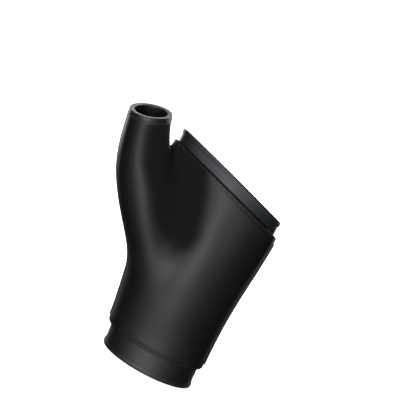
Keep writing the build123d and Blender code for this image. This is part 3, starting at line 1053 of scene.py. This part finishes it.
# the middle line of each pocket, and its lower and upper ends
beyond = stays["pocketEnd"]
pocketLines = [(besideStay(side), stays["bottom"] - beyond, stays["pocketTop"]) for side in (-1, 1)]
pocketLines.append((besideThumbStay, stays["thumbLow"] - beyond, stays["thumbHigh"] + beyond))

outerMid, innerMid = mid(outerIn, outerOut), mid(0, layers["inner"])
fold = layers["binding"] + layers["gap"]
lowerHemEdge, upperHemEdge = openings["cuffBand"] + panels["hem"], openings["fingerBand"] + panels["hem"]
outerSheet = edgesOf(lowerHemEdge, upperHemEdge, fold, outerMid)
for level in (-panels["channelHalf"], 0.0, panels["channelHalf"]):
    outerSheet = trim(outerSheet, aboveHeight(lowerRow + level), outerMid, both=True)
    outerSheet = trim(outerSheet, belowFingers(upperRow + level), outerMid, both=True)
innerSheet = edgesOf(fold, fold, fold, innerMid)


# the flat size of a cut piece: its breadth, its length, and its area, in metres
def cutSize(sheet, uv):
    size = (uv.max(0) - uv.min(0)) * mm
    area = 0.0
    for f in sheet[1]:
        q = uv[list(f)]
        area += abs(np.dot(q[:, 0], np.roll(q[:, 1], -1)) - np.dot(q[:, 1], np.roll(q[:, 0], -1))) / 2
    return tuple(float(v) for v in size), float(area * mm * mm)


def declareSheet(piece, flat, area):
    print(f"{piece.name}: cut {flat[0] * 1000:.0f} by {flat[1] * 1000:.0f} mm, {area * 1e4:.0f} square cm")


# threads of the inner sleeve: round the arm, and along it
def roundArm(points):
    turn = np.arctan2(points[:, 1], points[:, 0] - centreX(points[:, 2]))
    return np.stack([turn * halfBreadth(hand["wrist"]), points[:, 2]], -1)


# the part of a sheet that lies on one side of the side seams, less half of a seam
def halfOf(sheet, facing, seam, height):
    return trim(sheet, lambda p: facing * palmSide(p) - seam - panels["gap"], height)


# lines of edges along both sides of each pocket, where the cloth bends
def scorePockets(sheet):
    for line in (besideStay(-1), besideStay(1), besideThumbStay):
        for level in (pocketHalf - panels["pocketSoft"], pocketHalf, pocketHalf + 0.8):
            for turned in (1, -1):
                sheet = trim(sheet, lambda p: turned * line(p) - level, outerMid, both=True)
    return sheet


panelPieces = {}
for side, facing in dict(palm=1, back=-1).items():
    sheet = halfOf(outerSheet, facing, panels["seam"], outerMid)
    if side == "back":
        sheet = scorePockets(sheet)
    uv = layFlat(sheet)
    size, area = cutSize(sheet, uv)
    hems = (belowThumbRim(fold), aboveHeight(lowerHemEdge), belowFingers(upperHemEdge))
    onThumbRim, onLowerHem, onUpperHem = (np.abs(edge(sheet[0])) < form["onLine"] for edge in hems)
    bulge = np.where(onLowerHem | onUpperHem, panels["hem"], panels["seam"])
    bulge = np.where(onThumbRim, 0.0, bulge)
    points, faces, source = thicken(sheet, panelHeight(sheet[0]), outerIn, bulge)
    # the mask makes the palm hollow matt and paints shade into its colour
    name, look, uv, shineAndPaintedLight = f"outer_{side}_panel", outerFabric, uv[source], shineAndPaintedShadeOf(points)
    piece = addPiece(f"{name}_cloth", points, faces, uv, "sleeve", look, [name], shineAndPaintedLight)
    panelPieces[name] = (piece, size, area)

    sheet = halfOf(innerSheet, facing, panels["innerSeam"], innerMid)
    points, faces, source = thicken(sheet, layers["inner"], 0.0, panels["innerSeam"])
    band = openings["fingerBand"]
    # the finger band also gets the painted highlight colour
    shineAndPaintedLight = ramp(-belowFingers(0.0)(points), -band - 2, -band)  # satin only in the finger band
    name, look, uv = f"inner_{side}_panel", innerFabric, roundArm(points)
    piece = addPiece(f"{name}_cloth", points, faces, uv, "sleeve", look, [name], shineAndPaintedLight)
    panelPieces[name] = (piece, size, area * panels["innerExtra"])
print("panels made")


# ---- pockets: the back stays slide out through the upper hem ----
pocketPiece = panelPieces["outer_back_panel"][0]
for side, bed in beds.items():
    low, across, out, along = bed
    start = -stays["tipEnd"] - stays["clearance"]
    half = stays["tipWidth"] / 2 + stays["clearance"], stays["tipThickness"] / 2 + stays["clearance"]
    rings = []
    for run in np.arange(start, start + stays["cutLength"], stays["cutStep"]):
        corners = [(-1, -1), (1, -1), (1, 1), (-1, 1)]
        ring = [low + a * half[0] * across + b * half[1] * out + run * along for a, b in corners]
        rings.append(np.array(ring))
    cutter = pieceOf("pocketCutter", meshOf("pocketCutter", *closedTube(rings)))
    cut = pocketPiece.modifiers.new("pocket", "BOOLEAN")
    cut.operation = "DIFFERENCE"
    cut.solver = "EXACT"
    cut.object = cutter
    bpy.context.view_layer.update()
    ready = pocketPiece.evaluated_get(bpy.context.evaluated_depsgraph_get())
    cutMesh = bpy.data.meshes.new_from_object(ready)
    pocketPiece.modifiers.remove(cut)
    pocketPiece.data = cutMesh
    bpy.data.objects.remove(cutter)
print("pockets cut")


# ---- bindings: tape folded over the raw edges ----
# low and high are the lifts of the fabric inside the fold
plain = dict(low=0.0, high=layers["inner"], width=openings["bindingWidth"], wall=1.0)
bindings = dict(
    cuff=dict(plain, edge=aboveHeight),
    finger=dict(plain, edge=belowFingers),
    thumb=dict(
        edge=belowThumbRim, low=0.0, high=outerOut, width=openings["thumbBinding"], wall=thumb["wall"][-1]
    ),
)
bindingShape = dict(
    spacing=1.1,
    crown=0.14,
    # over the tape's width: share of the crown's height, share of the width from the edge
    crownLine=[(0.0, 0.82), (0.3, 0.66), (1.0, 0.45), (0.6, 0.25)],
    roundness=0.35,
    pinched=0.12,  # how far the tape's own edge is pulled in
    slack=0.03,
    thickFold=1.5,  # beyond this a fold also thins where the fabric inside it stretches
)


# the direction from an opening's edge into the cloth
def awayFromEdge(line, field):
    across = lineFrame(line, True)[2]
    return across * np.sign((slopeOf(field, line) * across).sum(1).mean())


# the folded tape's cross-section: distance out of the cloth's middle, and down from the edge
def foldedProfile(shape):
    half = (shape["high"] - shape["low"]) / 2
    tape, width = layers["binding"], shape["width"]
    outside, soft, inside = half + tape, bindingShape["roundness"], half + bindingShape["slack"]
    outer = [(outside - bindingShape["pinched"], width)]
    outer += [(outside + a * bindingShape["crown"], width * b) for a, b in bindingShape["crownLine"]]
    outer += [(outside - 0.05, soft), (outside - soft * 0.6, 0.06)]
    sole = [(0.0, 0.0)] if half > 1 else []
    inner = [(-a, b) for a, b in reversed(outer)]
    return outer + sole + inner + [(-inside, width), (-inside, tape), (inside, tape), (inside, width)]


# a folded tape all the way round an opening
def addBinding(name, shape):
    middle = mid(shape["low"], shape["high"])
    field = shape["edge"](0.0)
    line = ringLine(field, middle, bindingShape["spacing"])
    rings = []
    folded, inward = foldedProfile(shape), awayFromEdge(line, field)
    for outOf, into in folded:
        low = settle(line + into * inward, middle)
        wall = shape["wall"] if abs(outOf) > bindingShape["thickFold"] else 1.0
        rings.append(low + outOf * wall * outward(low))
    run = np.arange(len(line) + 1) * np.linalg.norm(np.roll(line, -1, 0) - line, axis=1).mean()
    across = runAlong(np.array(folded + folded[:1]))
    uv = []
    for low, high in zip(across, across[1:]):
        for start, end in zip(run, run[1:]):
            uv += [(start, low), (end, low), (end, high), (start, high)]
    faces = gridFaces(len(rings), len(line), closeRows=True, closeColumns=True)
    node, points = f"{name}_binding", np.concatenate(rings)
    piece = addPiece(f"{node}_tape", points, faces, uv, "sleeve", bindingTape, [node])
    pointOutward(piece)
    piece.data.set_sharp_from_angle(angle=math.radians(50))
    return piece


# makes every face look outward
def pointOutward(piece):
    shape = bmesh.new()
    shape.from_mesh(piece.data)
    bmesh.ops.recalc_face_normals(shape, faces=shape.faces)
    shape.to_mesh(piece.data)
    shape.free()


# ---- rows of stitches: small ropes of thread that dip into the cloth at both ends ----
stitch = dict(
    pitch=2.3,
    length=1.75,
    width=0.42,
    height=0.17,
    sink=0.2,
    rise=0.3,  # share of its height that the middle of a stitch lies above its line
    tip=0.06,  # share of its girth that is left at its ends
    around=6,
    along=5,
    fromEdge=1.35,
    overHem=0.3,
    overTape=0.1,
    intoCloth=0.05,
)


# one stitch as rings of points, and how far along and round the thread each point is
def oneStitch(at, along, out, across, start):
    rings, uv = [], []
    for share in np.linspace(-1, 1, stitch["along"] + 2):
        girth = math.sqrt(max(1 - share**4, 0.0)) * (1 - stitch["tip"]) + stitch["tip"]
        middle = at + along * share * stitch["length"] / 2
        middle = middle + out * (stitch["height"] * stitch["rise"] - stitch["sink"] * share * share)
        ring = []
        for turn in np.linspace(0, 2 * math.pi, stitch["around"], endpoint=False):
            sideways = across * stitch["width"] / 2 * math.cos(turn) * girth
            ring.append(middle + sideways + out * stitch["height"] * math.sin(turn) * girth)
            uv.append((share * stitch["length"] / 2 + start, turn * stitch["width"] / 2))
        rings.append(np.array(ring))
    return rings, uv


def stitchRow(name, line, closed, node=None, body="sleeve"):
    along, out, across = lineFrame(line, closed)
    points, faces, uv = [], [], []
    for i in range(len(line) if closed else len(line) - 1):
        rings, threads = oneStitch(line[i], along[i], out[i], across[i], i * stitch["pitch"])
        tube, sides = closedTube(rings)
        faces += [tuple(len(points) + j for j in f) for f in sides]
        points += list(tube)
        uv += threads
    piece = addPiece(name, points, faces, uv, body, sewingThread, [node] if node else ())
    pointOutward(piece)
    return piece


# a row of stitches round an opening, at a depth from its edge
def ringStitches(name, edge, depth, height):
    line = ringLine(edge(depth), height, stitch["pitch"])
    return stitchRow(f"{name}_thread", line, True, name)


for name, shape in bindings.items():
    piece = addBinding(name, shape)
    top = shape["high"] + layers["binding"] + stitch["overTape"]
    thread = ringStitches(f"{name}_stitching", shape["edge"], shape["width"] - stitch["fromEdge"], top)

hemHeight = outerOut - panels["channel"]
hemTop = hemHeight + stitch["overHem"]
lowerHem = ringStitches("lower_hem_stitching", aboveHeight, lowerRow, hemTop)
upperHem = ringStitches("upper_hem_stitching", belowFingers, upperRow, hemTop)
print("bindings and hems sewn")


# ---- tapes over the side seams ----
tapeShape = dict(width=5.0, hem=2.7, step=0.45, columns=13, rib=1.9, lean=0.9, ribHeight=0.13)


# the line of a side seam, where the keep test says that it is the wanted one
def seamLine(keep, height):
    line = rimLines(trim(base, palmSide, form["lift"]))[0]
    wanted = (np.abs(palmSide(line)) < form["onLine"]) & keep(line)
    first = int(np.argmin(wanted))
    line, wanted = np.roll(line, -first, axis=0), np.roll(wanted, -first)
    runs, run = [], []
    for i, w in enumerate(wanted):
        if w:
            run.append(i)
        elif run:
            runs.append(run)
            run = []
    longest = max(runs + [run], key=len)
    return evenLine(line[longest], 1.0, height=height, field=palmSide)


# a tape along a side seam, whose diagonal ribs meet over the seam
def addTape(name, keep, ends):
    middle = onOuter + layers["tape"] / 2
    line = seamLine(keep, middle)
    inside = np.all([end(line) > 0 for end in ends], axis=0)
    line = evenLine(line[inside], tapeShape["step"], height=middle)
    if line[0, 2] > line[-1, 2]:
        line = line[::-1]
    (points, faces), uv = stripSheet(line, tapeShape["width"], tapeShape["columns"], middle)
    leaned = uv[:, 0] + tapeShape["lean"] * np.abs(uv[:, 1])
    ribs = 0.5 + 0.5 * np.cos(2 * math.pi * leaned / tapeShape["rib"])
    edge = ramp(-np.abs(uv[:, 1]), -tapeShape["width"] / 2, -tapeShape["width"] / 2 + 0.6)
    top = onOuter + layers["tape"] - 0.12 + 2 * tapeShape["ribHeight"] * ribs * edge
    points, faces, source = thicken((points, faces), top, onOuter, 0.05, steps=2)
    piece = addPiece(f"{name}_cloth", points, faces, uv[source], "sleeve", seamTape, [name])
    pointOutward(piece)
    return piece


sewnIn = openings["cuffBand"] + tapeShape["hem"]
fingerEnd = belowFingers(openings["fingerBand"] + tapeShape["hem"])
thumbEnd = belowThumbRim(openings["thumbBinding"] + layers["gap"])
ulnarTape = addTape("ulnar_seam_tape", lambda p: p[:, 0] > 5, [aboveHeight(sewnIn), fingerEnd])
radialTape = addTape(
    "radial_seam_tape",
    lambda p: p[:, 0] < np.where(p[:, 2] > 60, thumbX(p[:, 2]), -5.0),
    [aboveHeight(sewnIn), thumbEnd],
)
print("seams taped")

# ---- loop patch on the back of the wrist ----
strap = dict(bottom=18.0, width=42.0, anchorDepth=10.5, foldDepth=16.0, endX=-8.0)
low, high = strap["bottom"], strap["bottom"] + strap["width"]
patch = dict(
    left=-31.0,
    right=4.0,
    margin=1.6,
    corner=3.0,
    rowInset=0.8,
    pile=0.08,
    pileFade=(0.4, 2.2),
    edgeDrop=0.12,
    edge=(0.0, 1.2),
)


# distance inside a rectangle with round corners, seen from the back
def insideRectangle(left, right, bottom, top, corner):
    def field(p):
        x, z = p[:, 0] - (left + right) / 2, p[:, 2] - (bottom + top) / 2
        dx = np.abs(x) - (right - left) / 2 + corner
        dz = np.abs(z) - (top - bottom) / 2 + corner
        away = np.hypot(np.maximum(dx, 0), np.maximum(dz, 0)) + np.minimum(np.maximum(dx, dz), 0) - corner
        return np.where(p[:, 1] > 0, -away, -20.0)

    return field


def patchOutline(inset):
    left, right, grown = patch["left"] + inset, patch["right"] - inset, patch["margin"] - inset
    return insideRectangle(left, right, low - grown, high + grown, patch["corner"] - inset)


# a piece of the hand's mesh somewhat larger than an outline, moved out to a lift before it is cut
def nearOutline(field, height, spare=6.0):
    points, faces = trim(base, lambda p: field(p) + spare)
    return settle(points, height), faces


patchMid = mid(onOuter, loopOut)
sheet = trim(nearOutline(patchOutline(0.0), patchMid), patchOutline(0.0), patchMid)
inner = patchOutline(0.0)(sheet[0])
x, z = sheet[0][:, 0], sheet[0][:, 2]
uneven = np.sin(5.3 * x + 1.7 * z) * np.sin(4.1 * z - 1.1 * x)  # the pile stands in small tufts
top = loopOut + patch["pile"] * uneven * ramp(inner, *patch["pileFade"])
top = top - patch["edgeDrop"] * (1 - ramp(inner, *patch["edge"]))
points, faces, source = thicken(sheet, top, onOuter, 0.1)
piece = addPiece(
    "loop_patch_cloth", points, faces, points[:, [0, 2]], "sleeve", loopPile, ["loop_patch"]
)
size = ((patch["right"] - patch["left"]) * mm, (strap["width"] + 2 * patch["margin"]) * mm)
panelPieces["loop_patch"] = (piece, size, size[0] * size[1] * 0.995)  # less its rounded corners
line = ringLine(patchOutline(patch["rowInset"]), loopOut + stitch["intoCloth"], stitch["pitch"])
patchThread = stitchRow("loop_patch_stitching_thread", line, True, "loop_patch_stitching")
print("patch sewn")

# ---- strap: it is sewn down beside its fold, and lies round the back of the wrist ----
strapShape = dict(length=50.0, step=0.7, row=0.47, ribPitch=1.4, ribHeight=0.07, selvedge=0.12, pull=0.2)
strapMid = mid(strapIn, strapOut)


# the strap as a grid: round the arm from its sewn end, and up its breadth
def strapGrid(low, high, fromDepth, toX, height):
    rows = np.linspace(low, high, int((high - low) / strapShape["row"]) + 1)
    columns = int(strapShape["length"] / strapShape["step"])
    start = np.arcsin(fromDepth / (backDepth(rows) + height))
    end = np.arccos((toX - centreX(rows)) / (halfBreadth(rows) + height))
    share = np.linspace(0, 1, columns)[:, None]
    turn = start[None] + share * (end - start)[None]
    z = np.broadcast_to(rows, turn.shape)
    x = centreX(z) + (halfBreadth(z) + height) * np.cos(turn)
    y = (backDepth(z) + height) * np.sin(turn)
    points = np.stack([x, y, z], -1)
    run = np.linalg.norm(np.diff(points, axis=0), axis=2).cumsum(axis=0)
    run = np.concatenate([np.zeros((1, len(rows))), run])
    uv = np.stack([run, z], -1).reshape(-1, 2)
    return (settle(points.reshape(-1, 3), height), gridFaces(columns, len(rows))), uv


sheet, uv = strapGrid(low + 0.1, high - 0.1, strap["anchorDepth"] + 0.1, strap["endX"], strapMid)
points = sheet[0]
ribs = np.cos(2 * math.pi * (points[:, 2] - low) / strapShape["ribPitch"])
fromEdge = np.minimum(points[:, 2] - low, high - points[:, 2])
body = ramp(fromEdge, 0.8, 1.8)
thin = strapShape["selvedge"] * (1 - ramp(fromEdge, 0.1, 0.9))
thick = strapShape["ribHeight"] * (ribs - 1) * body - thin
# sewn end: two layers deep down to the panel, flattened where the stitches run
nearRow = np.abs(points[:, 1] - strap["anchorDepth"] - 1.4)
sewnLine = np.minimum(nearRow, np.abs(points[:, 1] - strap["foldDepth"] + 1.6))
sewnLine = np.where(points[:, 0] > 0, sewnLine, 9.0)
pulled = strapShape["pull"] * np.exp(-((sewnLine / 0.8) ** 2))
onAnchor = ramp(-points[:, 1], -strap["foldDepth"] - 0.2, -strap["foldDepth"] + 1.4) * (points[:, 0] > 0)
inside = strapIn + (onOuter - strapIn) * onAnchor
points, faces, source = thicken(sheet, strapOut + thick - pulled, inside, 0.0, steps=3)
strapPiece = addPiece(
    "wrist_strap_webbing",
    points,
    faces,
    uv[source],
    None,
    elasticWebbing,
    ["strap_anchor", "wrist_strap"],
)
pointOutward(strapPiece)
strapLength = float(uv[:, 0].max())
print("strap laid:", round(strapLength, 1), "mm")


# points at an even pitch round a polygon
def alongPolygon(corners, pitch):
    corners = np.array(corners + corners[:1], float)
    run = runAlong(corners)
    count = int(round(run[-1] / pitch))
    where = np.linspace(0, run[-1], count, endpoint=False)
    return np.stack([np.interp(where, run, corners[:, k]) for k in range(2)], -1)


# a rectangle of stitches on the sewn end
def sewnEnd():
    edge = stitch["fromEdge"]
    near, far = strap["anchorDepth"] + edge, strap["foldDepth"] - edge - 0.2
    corners = [(near, low + edge), (far, low + edge), (far, high - edge), (near, high - edge)]
    yz = alongPolygon(corners, stitch["pitch"])
    half, back = halfBreadth(yz[:, 1]) + strapOut, backDepth(yz[:, 1]) + strapOut
    x = centreX(yz[:, 1]) + half * np.sqrt(1 - (yz[:, 0] / back) ** 2)
    return settle(np.stack([x, yz[:, 0], yz[:, 1]], -1), strapOut - stitch["intoCloth"])


anchorThread = stitchRow("anchor_stitching_thread", sewnEnd(), True, "anchor_stitching")

# ---- hook tab: moulded strip with rows of grip ridges, welded edge and rounded corners ----
tab = dict(
    length=18.0,
    endWidth=24.0,
    corner=8.0,
    border=1.5,
    borderHeight=0.14,
    borderSoft=(0.4, 0.5),
    ridges=3,
    ridgeHeight=0.22,
    ridgeStart=3.4,
    ridgePitch=1.5,
    ridgeHalf=0.5,
    ridgeReach=7.5,
)
middle = strap["bottom"] + strap["width"] / 2


# distance inside the tab's outline, which narrows towards its rounded end
def hookOutline(inset):
    tip = strap["endX"] - tab["length"]
    slope = (strap["width"] / 2 - tab["endWidth"] / 2) / tab["length"]
    steep = math.hypot(1, slope)
    r = tab["corner"] - inset

    def field(p):
        x, z = p[:, 0], np.abs(p[:, 2] - middle)
        fromSide = (strap["width"] / 2 - slope * (strap["endX"] - x) - z) / steep
        fromTip = x - tip
        a, b = fromSide - inset, fromTip - inset
        corner = r - np.hypot(np.maximum(r - a, 0), np.maximum(r - b, 0))
        inside = np.where((a < r) & (b < r), corner, np.minimum(a, b))
        inside = np.minimum(inside, strap["endX"] - inset - x)
        return np.where(p[:, 1] > 0, inside, -20.0)

    return field


hookOut = strapIn + layers["hook"]
hookMid = mid(strapIn, hookOut)
sheet = trim(nearOutline(hookOutline(0.05), hookMid), hookOutline(0.05), hookMid)
rise, borderEnd = tab["borderSoft"][0], tab["border"] + tab["borderSoft"][1]
for level in (rise, tab["border"], borderEnd):
    sheet = trim(sheet, hookOutline(level), hookMid, both=True)
firstRidge = strap["endX"] - tab["length"] + tab["ridgeStart"]
ridgeX = [firstRidge + tab["ridgePitch"] * k for k in range(tab["ridges"])]
half = tab["ridgeHalf"]
for x in ridgeX:
    for side in (-half, 0.0, half):
        sheet = trim(sheet, lambda p: p[:, 0] - x - side, hookMid, both=True)
p = sheet[0]
inner = hookOutline(0.0)(p)
border = ramp(inner, 0.0, rise) * (1 - ramp(inner, tab["border"], borderEnd))
across = ramp(-np.abs(p[:, 2] - middle), -tab["ridgeReach"], 1 - tab["ridgeReach"])
ridge = sum(np.maximum(1 - ((p[:, 0] - x) / half) ** 2, 0) for x in ridgeX) * across
top = hookOut - tab["borderHeight"] + tab["borderHeight"] * border + tab["ridgeHeight"] * ridge
points, faces, source = thicken(sheet, top, strapIn, 0.0, steps=3)
uv = points[:, [0, 2]]
hookPiece = addPiece(
    "hook_tab_strip", points, faces, uv, "wrist_strap", hookNylon, ["hook_tab"]
)
hookPiece.data.set_sharp_from_angle(angle=math.radians(40))
rowZ = np.arange(low + 3.7, high - 2.7, stitch["pitch"])
row = np.stack([np.full_like(rowZ, strap["endX"] - stitch["fromEdge"]), backDepth(rowZ) + hookOut, rowZ], -1)
row = settle(row, hookOut - stitch["intoCloth"])
stitchRow("hook_tab_stitching_thread", row, False, "hook_tab_stitching", "wrist_strap")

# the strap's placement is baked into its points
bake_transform(strapPiece)

# ---- stitches down both sides of each pocket ----
pocketRow = dict(overHem=0.42, step=0.5, rounds=6, belowBinding=1.5, belowHem=3.2, aboveStrap=2.4)


# a first guess at a pocket's row on the back, which settling then moves onto the cloth
def guessOnBack(field, level, z):
    if field is besideThumbStay:
        line = thumbLine(z)
        return line + np.stack([np.full_like(z, level), thumbDepth(z) + outerOut, np.zeros_like(z)], -1)
    points = np.stack([centreX(z), backDepth(z) + outerOut, z], -1)
    points[:, 0] -= field(points) - level
    return points


def sewPocket(label, field, level, low, high, insideEdge):
    def beside(p):
        return field(p) - level

    top = hemHeight + pocketRow["overHem"]
    guess = guessOnBack(field, level, np.arange(low, high, pocketRow["step"]))
    line = settle(guess, top, beside, rounds=pocketRow["rounds"])
    line = line[insideEdge(line) > 0]
    stitchRow(label, evenLine(line, stitch["pitch"], height=top, field=beside), False)


thumbStop = belowThumbRim(openings["thumbBinding"] + pocketRow["belowBinding"])
upperStop = belowFingers(openings["fingerBand"] + pocketRow["belowHem"])
for name, (field, start, stop) in zip(("radial", "ulnar", "thumb"), pocketLines):
    isThumb = name == "thumb"
    start = start if isThumb else max(start, high + pocketRow["aboveStrap"])
    for side, edge in ((-1, "inner"), (1, "outer")):
        level = side * (pocketHalf + stays["rowOutside"])
        label = f"{name}_pocket_{edge}_thread"
        sewPocket(label, field, level, start, stop, thumbStop if isThumb else upperStop)
print("pockets sewn")

# ---- what each sheet of cloth was cut to ----
for name, (piece, size, area) in panelPieces.items():
    declareSheet(piece, size, area)
size = (strap["width"] * mm, strapLength * mm)
declareSheet(strapPiece, size, size[0] * size[1])

# ---- camera ----
view = dict(aim=(-19.05, 0.0, 105.9), elevation=10.5, roll=28.4, distance=667.0, lens=100.0)
camera = bpy.data.objects.new("camera", bpy.data.cameras.new("camera"))
bpy.context.scene.collection.objects.link(camera)
e, r = math.radians(view["elevation"]), math.radians(view["roll"])
level, upright = Vector((1, 0, 0)), Vector((0, math.sin(e), math.cos(e)))
right = level * math.cos(r) + upright * math.sin(r)
up = upright * math.cos(r) - level * math.sin(r)
back = right.cross(up)
camera.matrix_world = Matrix((right, up, back)).transposed().to_4x4()
camera.location = (Vector(view["aim"]) + back * view["distance"]) * mm
camera.data.lens = view["lens"]
camera.data.sensor_width = 36.0
camera.data.clip_start = 0.05
camera.data.clip_end = 60.0
bpy.context.scene.camera = camera

# ---- floor, sky and lights ----
studio = dict(
    sky=0.012,
    floorGlow=1.05,
    lampColour="faf8ff",
    lamps=[
        # name, where it stands as seen from the front (azimuth, elevation), distance, size, power
        dict(name="key", azimuth=-4.0, elevation=-4.0, distance=1.2, size=(0.3, 0.8), power=11.5),
        dict(name="leftEdge", azimuth=-138.0, elevation=8.0, distance=0.8, size=(0.14, 0.7), power=5.0),
        dict(name="rightEdge", azimuth=142.0, elevation=10.0, distance=0.9, size=(0.1, 0.6), power=2.5),
        dict(name="backKey", azimuth=176.0, elevation=32.0, distance=1.2, size=(0.4, 0.4), power=14.0),
    ],
)
world = bpy.data.worlds.new("studio")
bpy.context.scene.world = world
world.use_nodes = True
tree = world.node_tree
tree.nodes.clear()
seen = addNode(tree, "LightPath").outputs["Is Camera Ray"]
strength = addNode(tree, "MapRange", {0: seen, 1: 0.0, 2: 1.0, 3: studio["sky"], 4: 1.0}).outputs[0]
sky = addNode(tree, "Background", {"Color": (1.0, 1.0, 1.0, 1.0), "Strength": strength})
addNode(tree, "OutputWorld", {"Surface": sky.outputs[0]})

floorMesh = meshOf("floor", [(-6, -6, 0), (6, -6, 0), (6, 6, 0), (-6, 6, 0)], [(0, 1, 2, 3)], 1.0)
floor = pieceOf("floor", floorMesh)
# pale paint that glows evenly, so that the floor can't be told from the sky behind it
boardLook = dict(shader={"Roughness": 0.7, "IOR": 1.5, "Emission Strength": studio["floorGlow"]})
floorMaterial, tree, shader = startMaterial("painted board, pale", boardLook)
shader.inputs["Base Color"].default_value = linear("f4f4f2")
shader.inputs["Emission Color"].default_value = linear("ffffff")
floorMesh.materials.append(floorMaterial)
floor.visible_diffuse = False
floor.visible_glossy = False
floor.visible_shadow = False

for lamp in studio["lamps"]:
    data = bpy.data.lights.new(lamp["name"], "AREA")
    data.shape = "RECTANGLE"
    data.size, data.size_y = lamp["size"]
    data.energy = lamp["power"]
    data.color = linear(studio["lampColour"])[:3]
    light = bpy.data.objects.new(lamp["name"], data)
    bpy.context.scene.collection.objects.link(light)
    a, h = math.radians(lamp["azimuth"]), math.radians(lamp["elevation"])
    away = Vector((math.sin(a) * math.cos(h), -math.cos(a) * math.cos(h), math.sin(h)))
    light.location = Vector(view["aim"]) * mm + away * lamp["distance"]
    light.rotation_euler = away.to_track_quat("Z", "Y").to_euler()
bpy.context.scene.view_settings.view_transform = "Standard"
print("studio ready")
